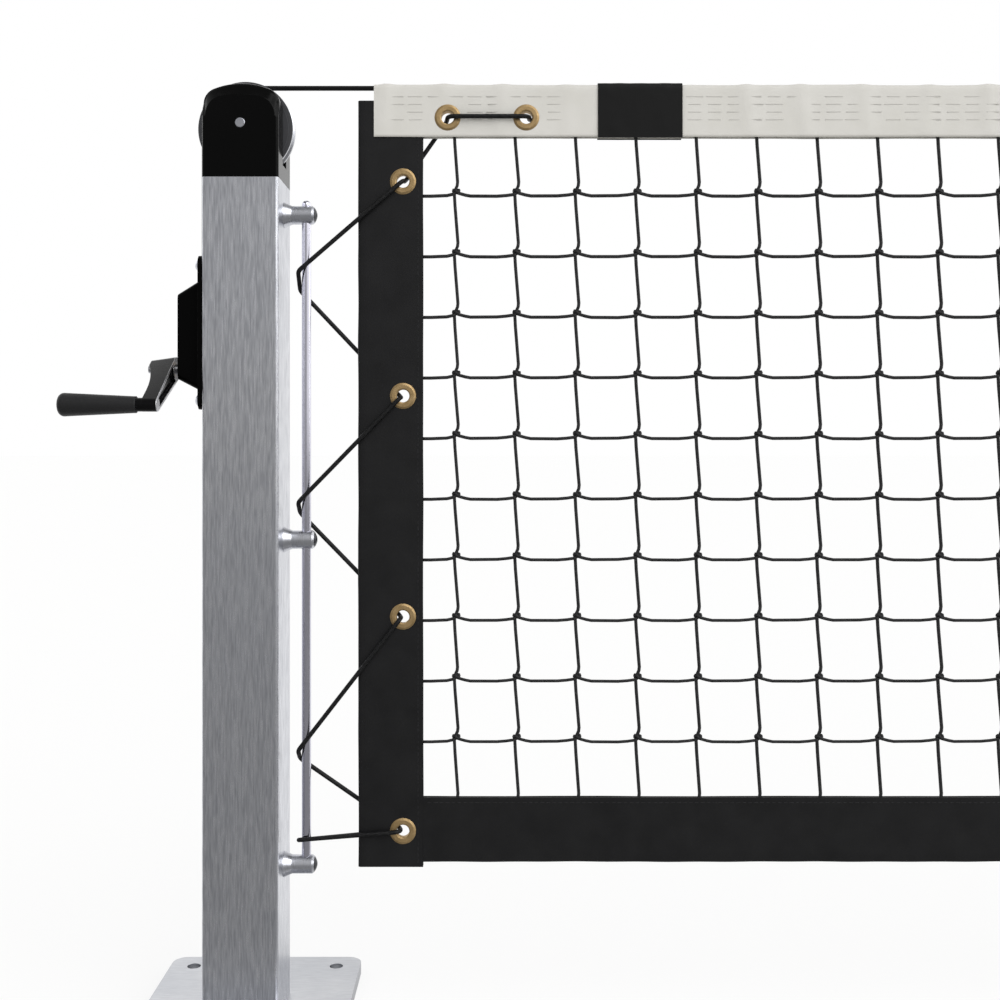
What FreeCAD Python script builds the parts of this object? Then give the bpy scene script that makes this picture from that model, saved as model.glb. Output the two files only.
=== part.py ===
import FreeCAD, Part
import math
import os

# A pickleball net between two square posts. All sizes are in millimetres.
# The origin is on the ground under the middle of the winch post. +X runs along the net
# to the anchor post, +Y points away from the side the net is looked at from, +Z is up.

# Court
inner_span = 6706.0          # between the posts' inner faces, 22 ft
net_top = 914.4              # top of the headband at the posts, 36 in

# Gaps between neighbours
soft_gap = 0.3               # cloth and cords beside what carries them
run_gap = 0.05               # radial, a shaft in its bore
side_gap = 0.3               # between a turning part's end and the wall beside it
past_face = 1.0              # a cut runs this far beyond the face it opens
least_corner = 0.5           # an inside corner is never sharper than this
least_run = 0.01             # a straight run between two arcs is never shorter than this

# Posts
post_width = 73.0            # square tube, 2-7/8 in
post_wall = 3.2
post_corner = 3.0
foot_length = 200.0          # base plate along X
foot_width = 250.0           # base plate along Y
foot_thick = 12.0
foot_corner = 15.0
foot_hole_d = 14.0           # clear of a 12 mm anchor bolt
foot_hole_x = 150.0          # hole to hole along X
foot_hole_y = 200.0          # hole to hole along Y

# Pulley caps
cable_d = 4.8                # coated wire rope, 3/16 in
hem_cover = 0.9              # cloth over the cable at the net's top edge
cable_clear = 5.5            # from the post's outer face out to the cable's centreline
pulley_lip = 4.0             # the pulley's flanges stand this far above the cable's centreline
pulley_width = 17.0
pulley_lip_flat = 3.0        # flat edge of each flange
pulley_rim_depth = 11.5      # from the flange's edge in to the web
pulley_web = 10.0
pulley_hub_r = 14.0
pulley_groove_turn = 60.0    # degrees of round floor each side of the groove's middle
bush_wall = 4.3
axle_d = 9.5
axle_proud = 0.6             # the axle's ends stand out of the cap
axle_chamfer = 0.5
cap_height = 90.9
cap_axle_height = 51.7       # the axle above the cap's seat on the tube
cap_crown_r = 72.0
cap_shoulder_r = 15.5
cap_slot_clear = 4.8         # between the pulley's edge and the slot's round floor
cap_slot_gap = 2.0           # each side of the pulley
# The rounded edge between the cap's outline and its leaning band, as (behind the face, in from
# the outline)
cap_edge = ((8.5, 0.0), (6.6, 0.7), (5.2, 2.6))
cap_face_drop = 12.5         # the flat face's arch is this far below the crown
cap_face_inset = 3.3
cap_face_crown_r = 150.0
cap_face_shoulder_r = 19.0
cap_run_out = 6.0            # below the shoulders the band runs out to the sides over this height
spigot_depth = 20.0          # the part of the cap inside the tube
spigot_wall = 5.0
cap_floor = 5.7              # left between the pulley's slot and the hollow under it
spigot_gap = 0.2
spigot_corner = 2.0
cap_screw_pitch = 36.0       # between the two screws in the back face
cap_screw_drop = 11.0        # below the seat

# Lacing rods
rod_d = 9.0
rod_stand_off = 21.6         # the rod's axis in front of the post's inner face
rod_top_over = 14.5          # above the top standoff's axis
rod_floor = 3.0              # left under the rod in the lowest standoff
standoff_drop = 30.7         # the top standoff's axis below the cap's seat
standoff_pitch = 317.5
standoff_count = 3
standoff_d = 18.0
standoff_length = 29.7
standoff_foot_d = 25.0
standoff_foot_length = 8.0
standoff_end_d = 15.0
standoff_chamfer = 2.0       # the outer end narrows over this length
clamp_d = 7.8                # screw that holds the rod in its standoff
clamp_head_d = 14.4
clamp_head = 2.6
clamp_socket = 4.0           # across flats
clamp_socket_depth = 1.8
stud_d = 10.0
stud_length = 8.5
rivet_nut_wall = 1.6
rivet_nut_flange_d = 19.0

# Winch
winch_z = 667.0              # height of the reel's axis
reel_run_r = 20.0            # from the reel's axis to the cable's centreline
winch_plate_thick = 4.5
winch_plate_width = 68.0
winch_plate_below = 71.4     # the plate's lower edge under the reel's axis
winch_plate_above = 76.0     # the plate's upper edge over the reel's axis
winch_plate_corner = 8.0
plate_notch_half = 4.0       # the cable's notch in the plate's upper edge
winch_screw_spread = 50.0    # between the screws across the plate
winch_screw_inset = 8.9      # from the plate's upper and lower edges
housing_depth = 21.3
housing_wall = 2.3
housing_width = 52.0
housing_draft = 1.5          # the sides lean in by this much
housing_below = 53.2
housing_above = 53.0
housing_slope_low = 10.9     # the lower end leans in by this much
housing_slope_high = 13.0    # the upper end leans in by this much
housing_corner = 5.0
inlet_r = 4.0                # hole for the cable in the housing's upper end
gear_module = 2.0
wheel_teeth = 24
worm_pitch_r = 8.0
worm_turns = 5
gear_backlash = 0.55
tooth_root = 1.25            # modules from the pitch line to a tooth's root
tooth_lean = 20.0            # degrees, the teeth's straight flanks
thread_bite = 0.3            # the worm's thread starts this far inside its core
worm_core_over = 3.0         # the core starts this far before the thread
wheel_mid_y = -9.0           # the worm and its wheel lie this far in front of the cable
wheel_width = 8.0
reel_bore_r = 5.0
reel_drum_length = 20.9
reel_flange_r = 28.0
reel_flange_thick = 2.0
reel_wall = 5.0
winding_turns = 2.5
winding_pitch = 5.3
frame_wall = 3.0
frame_above = 31.0
frame_below = 41.0
window_below = 44.0          # the window's lower edge, clear of the worm
worm_side_gap = 0.8          # between the worm and the frame's cheek
frame_out = 9.0              # the frame reaches this far out of the plate
frame_in = 46.0              # and this far into the post
worm_shaft_r = 5.0
worm_tail_r = 4.0
bush_ring = 3.0

# Crank
hub_d = 24.0                 # at the end by the housing
hub_end_d = 17.2             # at the outer end
hub_length = 23.8
hub_gap = 4.5                # between the housing's face and the hub
hub_end_wall = 1.4
crank_reach_y = 71.0         # from the crank's axis to the handle's, towards the viewer
crank_drop = 36.3            # from the crank's axis down to the handle's
crank_tip_width = 13.9
crank_tip_d = 13.0
crank_pocket_depth = 3.2
crank_rim = 2.6
crank_waist = 44.0           # a point that the outer side's sweep passes, from the crank's axis
crank_sweep = 1.2            # and how far it still is from the tip's width there
crank_tip_floor = 2.8        # left behind the handle pin
boss_d = 12.8
boss_length = 19.0
grip_length = 72.0
grip_big_d = 21.7
grip_small_d = 15.6
grip_end_r = 5.5
grip_cap = 6.0               # closed end of the grip
grip_lip = 3.0               # plain lip at the inner end
grip_edge = 0.6
handle_pin_d = 8.0
crank_screw_head_d = 7.5
crank_screw_head = 3.0
crank_screw_d = 5.0
crank_screw_length = 12.5
crank_socket_depth = 1.8
crank_tap_depth = 14.0       # thread in the shaft's end

# Net
lacing_gap = 72.4            # from the post's inner face to the side tape
tape_width = 63.5            # 2-1/2 in
tape_ply = 1.2
side_tape_bottom = 149.2
side_tape_top = 898.1
side_tape_slit = 11.4        # the mesh reaches this far into the side tape
headband_height = 52.0       # 2 in, folded
headband_inset = 15.6        # the headband starts this far in from the side tape's edge
headband_half = 4.3
headband_slit = 32.0
headband_mesh_reach = 9.6    # the mesh reaches this far into the headband
bottom_tape_bottom = 153.6
bottom_tape_slit = 50.0
mesh_half = 1.2
mesh_inset_x = 204.7         # first column of knots from the post's axis
mesh_column_pitch = 177.54   # the solid's cords stand for every third real one
mesh_top_z = 810.1           # first row of knots
mesh_row_pitch = 118.7       # the solid's rows stand for every second real one
mesh_rows = 5
mesh_bar = 5.0
mesh_border = 8.0
patch_start = 343.2          # blank patch over the headband, from the post's axis
patch_width = 82.5
patch_overhang = 0.9         # below the headband's lower edge
patch_ply = 0.9

# Grommets and lacing
grommet_d = 25.5
grommet_hole_d = 12.5
grommet_wall = 0.8
grommet_flange = 1.1
grommet_lead = 1.2           # the hole's mouth widens by this much
grommet_lead_depth = 0.5
grommet_slope = 2.0          # the flange slopes down over its last stretch
grommet_edge = 0.2           # and is this thick at its rim
side_grommet_inset = 43.9    # from the side tape's outer edge
side_grommet_z = (819.1, 609.5, 393.8, 184.3)
headband_grommet_x = (196.5, 273.2)
headband_grommet_drop = 33.2
lacing_d = 4.4
# Where the cord's middle passes each hole, as (along X, up) from the hole's centre
band_pass_second = (3.0, 0.4)
band_pass_front = (0.5, 0.4)
band_pass_back = (-1.6, -2.0)
side_pass = ((0.8, 0.8), (-2.2, -1.4), (-2.2, -1.4), (-2.6, 0.2))
lacing_turn_front = (730.9, 505.6, 263.8)   # heights of the cord's turns in front of the rod
lacing_turn_back = (713.4, 494.8, 253.0)    # and behind it
lacing_turn_slack = 0.2      # between the cord's bend and the rod
lacing_bend_slack = 0.8      # the bends are this much tighter than the rod and the cord
lacing_start = 12.0          # the cord starts behind the headband, this far past its second grommet
arc_share = 0.47             # an arc takes this much of the shorter run beside it
tie_off_front = 7.5          # the last turn's height in front of the rod, below the last grommet
tie_off_back = 11.7          # and behind it
# The tied end behind the side tape, from the tape's edge, from its back and from the last grommet
tie_off_run = ((9.1, 4.5, -5.3), (19.0, 5.5, 1.4))
knot_r = 4.6

# Cable's dead end on the anchor post
anchor_z = 640.0             # height of the cable pin
anchor_pin_d = 12.0
anchor_pin_clear = 12.0      # from the bracket's plate out to the pin's axis
anchor_plate_thick = 4.5
anchor_plate_width = 60.0
anchor_plate_height = 84.0
anchor_ear_thick = 4.0
anchor_ear_gap = 9.0         # between the two ears
anchor_ear_r = 11.0
anchor_screw_pitch_y = 40.0
anchor_screw_pitch_z = 62.0
anchor_pin_head_d = 17.0
anchor_pin_head = 2.5
eye_height = 26.0            # from the pin up to the ferrule
ferrule_length = 16.0
ferrule_wall = 1.6
strand_gap = 0.4             # between the two strands in the ferrule
cable_jog_high = 70.0        # above the ferrule, the cable leaves the pulley's plumb line
cable_jog_low = 40.0         # and is plumb over the pin from here down
cable_jog_r = 60.0
eye_neck_r = 8.0             # bend where the eye closes to the ferrule
eye_shoulder = 6.0           # the eye's sides are plumb up to here above the pin
eye_close = 8.0              # under the ferrule, the strands are side by side
cable_tail = 2.0             # the cable's end stands out of the ferrule

# Button head screws
screw_d = 6.0
screw_head_d = 12.0
screw_head = 3.4
screw_rim = 1.0              # upright edge under the dome
screw_flat_d = 6.6           # flat top round the socket
screw_socket = 4.0
screw_socket_depth = 2.2
screw_length = 10.0

# Places that follow from the sizes above
V = FreeCAD.Vector
axis_x = V(1, 0, 0)
axis_y = V(0, 1, 0)
axis_z = V(0, 0, 1)
post_half = post_width / 2
span = inner_span + post_width
pulley_run_r = post_half + cable_clear
cable_r = cable_d / 2
cable_z = net_top - hem_cover - soft_gap - cable_r
pulley_r = pulley_run_r + pulley_lip
pulley_z = cable_z - pulley_run_r
seat_z = pulley_z - cap_axle_height
slot_half = pulley_width / 2 + cap_slot_gap
spigot_floor = pulley_r + cap_slot_clear + cap_floor - cap_axle_height
standoff_top_z = seat_z - standoff_drop
rod_x = post_half + rod_stand_off
rod_r = rod_d / 2
reel_x = reel_run_r - pulley_run_r
plate_out_x = post_half + winch_plate_thick
anchor_pin_out = post_half + anchor_plate_thick + anchor_pin_clear
housing_out_x = plate_out_x + housing_depth
worm_y = wheel_mid_y
wheel_pitch_r = gear_module * wheel_teeth / 2
worm_z = winch_z - wheel_pitch_r - worm_pitch_r
hub_in_x = -(housing_out_x + hub_gap)
hub_out_x = hub_in_x - hub_length
handle_y = worm_y - crank_reach_y
handle_z = worm_z - crank_drop
tape_half = mesh_half + soft_gap + tape_ply
side_tape_x = post_half + lacing_gap
headband_x = side_tape_x + headband_inset
headband_bottom = net_top - headband_height
lacing_r = lacing_d / 2


# Helpers

def box(x0, x1, y0, y1, z0, z1):
    return Part.makeBox(x1 - x0, y1 - y0, z1 - z0, V(x0, y0, z0))


def rod(start, direction, length, radius):
    return Part.makeCylinder(radius, length, start, direction)


def ring(start, direction, length, outer, inner):
    return rod(start, direction, length, outer).cut(rod(start, direction, length, inner))


def spun(points, centre, axis, side):
    # Turns a closed outline of (along the axis, away from it) points about the axis.
    corners = [centre + axis * a + side * r for a, r in points]
    face = Part.Face(Part.makePolygon(corners + corners[:1]))
    return face.revolve(centre, axis, 360)


def rounded_wire(x, y0, y1, z0, z1, r):
    # A rounded rectangle across X, with its edges in the same order each time.
    h = r * (1 - math.sqrt(0.5))
    p = [(y0 + r, z0), (y1 - r, z0), (y1 - h, z0 + h), (y1, z0 + r), (y1, z1 - r), (y1 - h, z1 - h),
         (y1 - r, z1), (y0 + r, z1), (y0 + h, z1 - h), (y0, z1 - r), (y0, z0 + r), (y0 + h, z0 + h)]
    v = [V(x, a, b) for a, b in p]
    edges = []
    for i in range(0, 12, 3):
        a, b, mid, c = v[i], v[i + 1], v[i + 2], v[(i + 3) % 12]
        edges += [Part.makeLine(a, b), Part.Arc(b, mid, c).toShape()]
    return Part.Wire(edges)


def rounded_plate(x0, x1, y0, y1, z0, z1, r):
    return Part.Face(rounded_wire(x0, y0, y1, z0, z1, r)).extrude(V(x1 - x0, 0, 0))


def upright_plate(half_x, half_y, z0, z1, r):
    # A plate or bar with rounded upright edges.
    plate = rounded_plate(0, z1 - z0, -half_y, half_y, -half_x, half_x, r)
    plate.rotate(V(0, 0, 0), axis_y, -90)
    plate.translate(V(0, 0, z0))
    return plate


def hexagon(start, direction, depth, across):
    r = across / math.sqrt(3)
    side = axis_y if abs(direction.y) < 0.5 else axis_z
    other = direction.cross(side)
    corners = []
    for i in range(7):
        a = math.radians(60 * i)
        corners.append(start + side * (r * math.cos(a)) + other * (r * math.sin(a)))
    return Part.Face(Part.makePolygon(corners)).extrude(direction * depth)


def across(direction):
    return axis_z if abs(direction.z) < 0.5 else axis_y


def button_screw(seat, outward, length):
    # A domed screw with a socket. Its head sits on the seat and its shank runs inward.
    r, flat = screw_head_d / 2, screw_flat_d / 2
    side = across(outward)
    # The dome is a piece of a ball whose centre is on the screw's axis.
    low = (flat ** 2 + screw_head ** 2 - r ** 2 - screw_rim ** 2) / (2 * (screw_head - screw_rim))
    ball = math.hypot(r, screw_rim - low)
    middle = (math.atan2(r, screw_rim - low) + math.atan2(flat, screw_head - low)) / 2

    def at(height, away):
        return seat + outward * height + side * away

    dome = Part.Arc(at(screw_rim, r), at(low + ball * math.cos(middle), ball * math.sin(middle)),
                    at(screw_head, flat)).toShape()
    corners = [at(screw_head, flat), at(screw_head, 0), at(0, 0), at(0, r), at(screw_rim, r)]
    lines = [Part.makeLine(a, b) for a, b in zip(corners, corners[1:])]
    head = Part.Face(Part.Wire([dome] + lines)).revolve(seat, outward, 360)
    socket = hexagon(at(screw_head - screw_socket_depth, 0), outward, screw_socket_depth, screw_socket)
    shank = rod(at(-length, 0), outward, length, screw_d / 2)
    return head.cut(socket).fuse(shank)


def tube(points, radii, radius):
    # A round tube along straight runs joined by tangent arcs. Returns it and its length.
    edges = []
    here = points[0]
    for i in range(1, len(points) - 1):
        back = (points[i - 1] - points[i]).normalize()
        on = (points[i + 1] - points[i]).normalize()
        half = back.getAngle(on) / 2
        cut = radii[i - 1] / math.tan(half)
        middle = points[i] + (back + on).normalize() * (radii[i - 1] / math.sin(half) - radii[i - 1])
        start, end = points[i] + back * cut, points[i] + on * cut
        edges += [Part.makeLine(here, start), Part.Arc(start, middle, end).toShape()]
        here = end
    edges.append(Part.makeLine(here, points[-1]))
    circle = Part.Wire(Part.makeCircle(radius, points[0], points[1] - points[0]))
    path = Part.Wire(edges)
    return path.makePipeShell([circle], True, False), path.Length


def grouped(solids):
    return Part.makeCompound([s for shape in solids for s in shape.Solids])


def mirrored(shape):
    # The same part at the anchor post.
    return shape.mirror(V(span / 2, 0, 0), axis_x)


# Posts

def standoff_heights():
    return [standoff_top_z - standoff_pitch * i for i in range(standoff_count)]


def cap_screw_places():
    z = seat_z - cap_screw_drop
    return [V(x, post_half, z) for x in (-cap_screw_pitch / 2, cap_screw_pitch / 2)]


def post_tube():
    bar = upright_plate(post_half, post_half, foot_thick, seat_z, post_corner)
    inner = post_half - post_wall
    bore = upright_plate(inner, inner, foot_thick, seat_z, max(post_corner - post_wall, least_corner))
    shape = bar.cut(bore)
    for z in standoff_heights():
        start = V(inner - past_face, 0, z)
        shape = shape.cut(rod(start, axis_x, post_wall + 2 * past_face, stud_d / 2 + rivet_nut_wall))
    for place in cap_screw_places():
        shape = shape.cut(rod(place + axis_y * past_face, axis_y * -1, post_wall + 2 * past_face,
                              screw_d / 2 + run_gap))
    return shape


def base_plate():
    shape = upright_plate(foot_length / 2, foot_width / 2, 0, foot_thick, foot_corner)
    for x in (-foot_hole_x / 2, foot_hole_x / 2):
        for y in (-foot_hole_y / 2, foot_hole_y / 2):
            shape = shape.cut(rod(V(x, y, 0), axis_z, foot_thick, foot_hole_d / 2))
    return shape


def arch(y, half, top, crown_r, shoulder_r):
    # The cap's outline: a shallow crown between two round shoulders. Below them it runs out
    # past the tube's sides.
    rise = math.sqrt((crown_r - shoulder_r) ** 2 - (half - shoulder_r) ** 2)
    crown_z = top - crown_r
    shoulder_z = crown_z + rise
    turn = math.atan2(half - shoulder_r, rise)
    wide = post_half + past_face
    low_z = seat_z - past_face

    def on_crown(side, angle):
        return V(side * crown_r * math.sin(angle), y, crown_z + crown_r * math.cos(angle))

    def on_shoulder(side, angle):
        x = half - shoulder_r + shoulder_r * math.sin(angle)
        return V(side * x, y, shoulder_z + shoulder_r * math.cos(angle))

    def flank(side):
        return [V(side * x, y, z) for x, z in
                ((wide, low_z), (wide, shoulder_z - cap_run_out), (half, shoulder_z))]

    steep = (turn + math.pi / 2) / 2
    left, right = flank(-1), flank(1)
    return Part.Wire([
        Part.makeLine(left[0], left[1]),
        Part.makeLine(left[1], left[2]),
        Part.Arc(left[2], on_shoulder(-1, steep), on_crown(-1, turn)).toShape(),
        Part.Arc(on_crown(-1, turn), V(0, y, top), on_crown(1, turn)).toShape(),
        Part.Arc(on_crown(1, turn), on_shoulder(1, steep), right[2]).toShape(),
        Part.makeLine(right[2], right[1]),
        Part.makeLine(right[1], right[0]),
        Part.makeLine(right[0], left[0]),
    ])


def pulley_cap():
    top = seat_z + cap_height
    core_y = post_half - cap_edge[0][0]

    def section(behind, inset, drop, crown_r, shoulder_r):
        return arch(behind - post_half, post_half - inset, top - drop, crown_r, shoulder_r)

    edge = [section(behind, inset, inset, cap_crown_r - inset, cap_shoulder_r - inset)
            for behind, inset in cap_edge]
    face = section(0, cap_face_inset, cap_face_drop, cap_face_crown_r, cap_face_shoulder_r)
    shape = Part.Face(edge[0]).extrude(V(0, 2 * core_y, 0))
    for near, far in zip(edge, edge[1:] + [face]):
        band = Part.makeLoft([near, far], True, True)
        shape = shape.fuse([band, band.mirror(V(0, 0, 0), axis_y)])
    # Its sides and upright edges are the tube's.
    shape = shape.common(upright_plate(post_half, post_half, seat_z, top + past_face, post_corner))
    spigot_half = post_half - post_wall - spigot_gap
    hollow_half = spigot_half - spigot_wall
    low = seat_z - spigot_depth
    spigot = upright_plate(spigot_half, spigot_half, low, seat_z, spigot_corner)
    hollow = upright_plate(hollow_half, hollow_half, low, seat_z - spigot_floor, spigot_corner)
    shape = shape.fuse(spigot.cut(hollow))
    shape = shape.cut(rod(V(0, -slot_half, pulley_z), axis_y, 2 * slot_half, pulley_r + cap_slot_clear))
    shape = shape.cut(rod(V(0, -post_width, pulley_z), axis_y, 2 * post_width, axle_d / 2 + run_gap))
    for place in cap_screw_places():
        tapped = rod(place, axis_y * -1, screw_length, screw_d / 2)
        shape = shape.cut(tapped)
    return shape.removeSplitter()


def cap_screws():
    return grouped([button_screw(p, axis_y, screw_length) for p in cap_screw_places()])


def pulley():
    lip = pulley_width / 2
    groove_r = cable_r + soft_gap
    slope = math.radians(pulley_groove_turn)
    side = (groove_r * math.sin(slope), pulley_run_r - groove_r * math.cos(slope))
    open_half = lip - pulley_lip_flat
    bore_r = axle_d / 2 + bush_wall
    half = pulley_web / 2
    rim_in = pulley_r - pulley_rim_depth
    taper = (lip - half) / 2

    def at(y, r):
        return V(0, y, pulley_z + r)

    corners = [(side[0], side[1]), (open_half, pulley_r), (lip, pulley_r), (lip, rim_in),
               (half, rim_in - taper), (half, pulley_hub_r + taper), (lip, pulley_hub_r), (lip, bore_r),
               (-lip, bore_r), (-lip, pulley_hub_r), (-half, pulley_hub_r + taper), (-half, rim_in - taper),
               (-lip, rim_in), (-lip, pulley_r), (-open_half, pulley_r), (-side[0], side[1])]
    lines = [Part.makeLine(at(*a), at(*b)) for a, b in zip(corners, corners[1:])]
    floor = Part.Arc(at(*corners[-1]), at(0, pulley_run_r - groove_r), at(*corners[0])).toShape()
    return Part.Face(Part.Wire(lines + [floor])).revolve(V(0, 0, pulley_z), axis_y, 360)


def pulley_bush():
    half = slot_half - side_gap
    return ring(V(0, -half, pulley_z), axis_y, 2 * half, axle_d / 2 + bush_wall, axle_d / 2 + run_gap)


def pulley_axle():
    half = post_half + axle_proud
    pin = rod(V(0, -half, pulley_z), axis_y, 2 * half, axle_d / 2)
    rims = [e for e in pin.Edges if isinstance(e.Curve, Part.Circle)]
    return pin.makeChamfer(axle_chamfer, rims)


# Lacing rod

def lacing_rod():
    low = standoff_heights()[-1] - standoff_d / 2 + rod_floor
    top = standoff_top_z + rod_top_over
    body = rod(V(rod_x, 0, low), axis_z, top - rod_r - low, rod_r)
    return body.fuse(Part.makeSphere(rod_r, V(rod_x, 0, top - rod_r))).removeSplitter()


def standoffs():
    solids = []
    heights = standoff_heights()
    straight = standoff_length - standoff_chamfer
    for z in heights:
        foot = Part.makeCone(standoff_foot_d / 2, standoff_d / 2, standoff_foot_length,
                             V(post_half, 0, z), axis_x)
        body = rod(V(post_half, 0, z), axis_x, straight, standoff_d / 2)
        end = Part.makeCone(standoff_d / 2, standoff_end_d / 2, standoff_chamfer,
                            V(post_half + straight, 0, z), axis_x)
        stud = rod(V(post_half - stud_length, 0, z), axis_x, stud_length, stud_d / 2)
        shape = body.fuse([foot, end, stud])
        shape = shape.cut(rod(V(rod_x, 0, z), axis_x, standoff_length, clamp_d / 2 + run_gap))
        low = z - standoff_d / 2 + rod_floor if z == heights[-1] else z - standoff_d
        shape = shape.cut(rod(V(rod_x, 0, low), axis_z, 2 * standoff_d, rod_r + run_gap))
        solids.append(shape.removeSplitter())
    return grouped(solids)


def clamp_screws():
    # A screw with a low domed head in the end of each standoff holds the rod.
    seat_x = post_half + standoff_length
    length = seat_x - rod_x - rod_r - run_gap
    ball = (clamp_head_d ** 2 / 4 + clamp_head ** 2) / (2 * clamp_head)
    solids = []
    for z in standoff_heights():
        seat = V(seat_x, 0, z)
        dome = Part.makeSphere(ball, seat + axis_x * (clamp_head - ball))
        head = dome.common(rod(seat, axis_x, clamp_head, clamp_head_d / 2 + past_face))
        socket = seat + axis_x * (clamp_head - clamp_socket_depth)
        head = head.cut(hexagon(socket, axis_x, clamp_socket_depth, clamp_socket))
        solids.append(head.fuse(rod(seat, axis_x * -1, length, clamp_d / 2)))
    return grouped(solids)


def rivet_nuts():
    inner = post_half - post_wall
    solids = []
    for z in standoff_heights():
        start = V(post_half - stud_length, 0, z)
        sleeve = rod(start, axis_x, stud_length, stud_d / 2 + rivet_nut_wall)
        bulge = rod(V(inner - rivet_nut_wall, 0, z), axis_x, rivet_nut_wall, rivet_nut_flange_d / 2)
        bore = rod(start, axis_x, stud_length, stud_d / 2 + run_gap)
        solids.append(sleeve.fuse(bulge).cut(bore))
    return grouped(solids)


# Winch

def window():
    # The opening in the post and the plate that the gear frame sits in.
    low_y, high_y = frame_sides()
    low_z, high_z = winch_z - window_below, winch_z + frame_above
    return box(-plate_out_x, -(post_half - post_wall), low_y, high_y, low_z, high_z)


def axle_room():
    # Keeps the post and the plate clear of the heads on the reel's axle.
    low_y, high_y = frame_sides()
    reach = frame_wall + soft_gap
    length = high_y - low_y + 2 * reach
    return rod(V(reel_x, low_y - reach, winch_z), axis_y, length, reel_bore_r + reach)


def frame_sides():
    near = wheel_mid_y - wheel_width / 2 - wheel_boss() - side_gap - frame_wall
    far = wheel_mid_y + wheel_width / 2 + reel_drum_length + reel_flange_thick + side_gap + frame_wall
    return near, far


def wheel_boss():
    # Keeps the frame's cheek clear of the worm.
    return worm_pitch_r + gear_module + worm_side_gap - side_gap - wheel_width / 2


def winch_screw_places():
    places = []
    low = winch_z - winch_plate_below + winch_screw_inset
    high = winch_z + winch_plate_above - winch_screw_inset
    for y in (-winch_screw_spread / 2, winch_screw_spread / 2):
        places += [V(-plate_out_x, y, low), V(-plate_out_x, y, high)]
    return places


def winch_post_tube():
    shape = post_tube().cut(window()).cut(axle_room())
    for place in winch_screw_places():
        depth = winch_plate_thick + post_wall + past_face
        shape = shape.cut(rod(place, axis_x, depth, screw_d / 2 + run_gap))
    return shape


def winch_plate():
    half = winch_plate_width / 2
    shape = rounded_plate(-plate_out_x, -post_half, -half, half, winch_z - winch_plate_below,
                          winch_z + winch_plate_above, winch_plate_corner)
    shape = shape.cut(window()).cut(axle_room())
    side = plate_notch_half
    top = winch_z + winch_plate_above + past_face
    shape = shape.cut(box(-plate_out_x - past_face, -post_half, -side, side, winch_z, top))
    for place in winch_screw_places():
        shape = shape.cut(rod(place, axis_x, winch_plate_thick, screw_d / 2 + run_gap))
    return shape


def winch_screws():
    return grouped([button_screw(p, axis_x * -1, screw_length) for p in winch_screw_places()])


def winch_housing():
    half = housing_width / 2
    w = housing_wall
    near, far = -plate_out_x, -housing_out_x
    low, high = winch_z - housing_below, winch_z + housing_above

    def shell(x, inset, lean_y, lean_low, lean_high):
        y = half - lean_y - inset
        return rounded_wire(x, -y, y, low + lean_low + inset, high - lean_high - inset,
                            max(housing_corner - inset, least_corner))

    share = (housing_depth - w) / housing_depth
    outer = Part.makeLoft([shell(near, 0, 0, 0, 0),
                           shell(far, 0, housing_draft, housing_slope_low, housing_slope_high)], True, True)
    inner = Part.makeLoft([shell(near, w, 0, 0, 0),
                           shell(far + w, w, housing_draft * share, housing_slope_low * share,
                                 housing_slope_high * share)], True, True)
    shape = outer.cut(inner)
    inlet_x = -pulley_run_r
    shape = shape.cut(rod(V(inlet_x, 0, winch_z), axis_z, 2 * housing_above, inlet_r))
    boss = rod(V(far + w, worm_y, worm_z), axis_x, bush_ring, worm_shaft_r + 2 * bush_ring)
    shape = shape.fuse(boss)
    return shape.cut(rod(V(far - past_face, worm_y, worm_z), axis_x, w + bush_ring + past_face,
                         worm_shaft_r + bush_ring))


def gear_frame():
    low_y, high_y = frame_sides()
    out_x = -(plate_out_x + frame_out)
    in_x = -post_half + frame_in
    z0, z1 = winch_z - frame_below, winch_z + frame_above
    shape = box(out_x, in_x, low_y, high_y, z0, z1)
    shape = shape.cut(box(out_x, in_x - frame_wall, low_y + frame_wall, high_y - frame_wall, z0, z1))
    shape = shape.cut(rod(V(reel_x, low_y, winch_z), axis_y, high_y - low_y, reel_bore_r + run_gap))
    return shape.cut(rod(V(in_x - frame_wall, worm_y, worm_z), axis_x, frame_wall, worm_tail_r + bush_ring))


def reel_axle():
    low_y, high_y = frame_sides()
    pin = rod(V(reel_x, low_y - frame_wall, winch_z), axis_y, high_y - low_y + 2 * frame_wall, reel_bore_r)
    heads = [rod(V(reel_x, y, winch_z), axis_y, frame_wall, reel_bore_r + frame_wall)
             for y in (low_y - frame_wall, high_y)]
    return pin.fuse(heads).removeSplitter()


def worm_bushes():
    far = -housing_out_x
    in_x = -post_half + frame_in
    front = ring(V(far - side_gap, worm_y, worm_z), axis_x, housing_wall + bush_ring + side_gap,
                 worm_shaft_r + bush_ring, worm_shaft_r + run_gap)
    back = ring(V(in_x - frame_wall, worm_y, worm_z), axis_x, frame_wall + side_gap,
                worm_tail_r + bush_ring, worm_tail_r + run_gap)
    return grouped([front, back])


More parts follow.
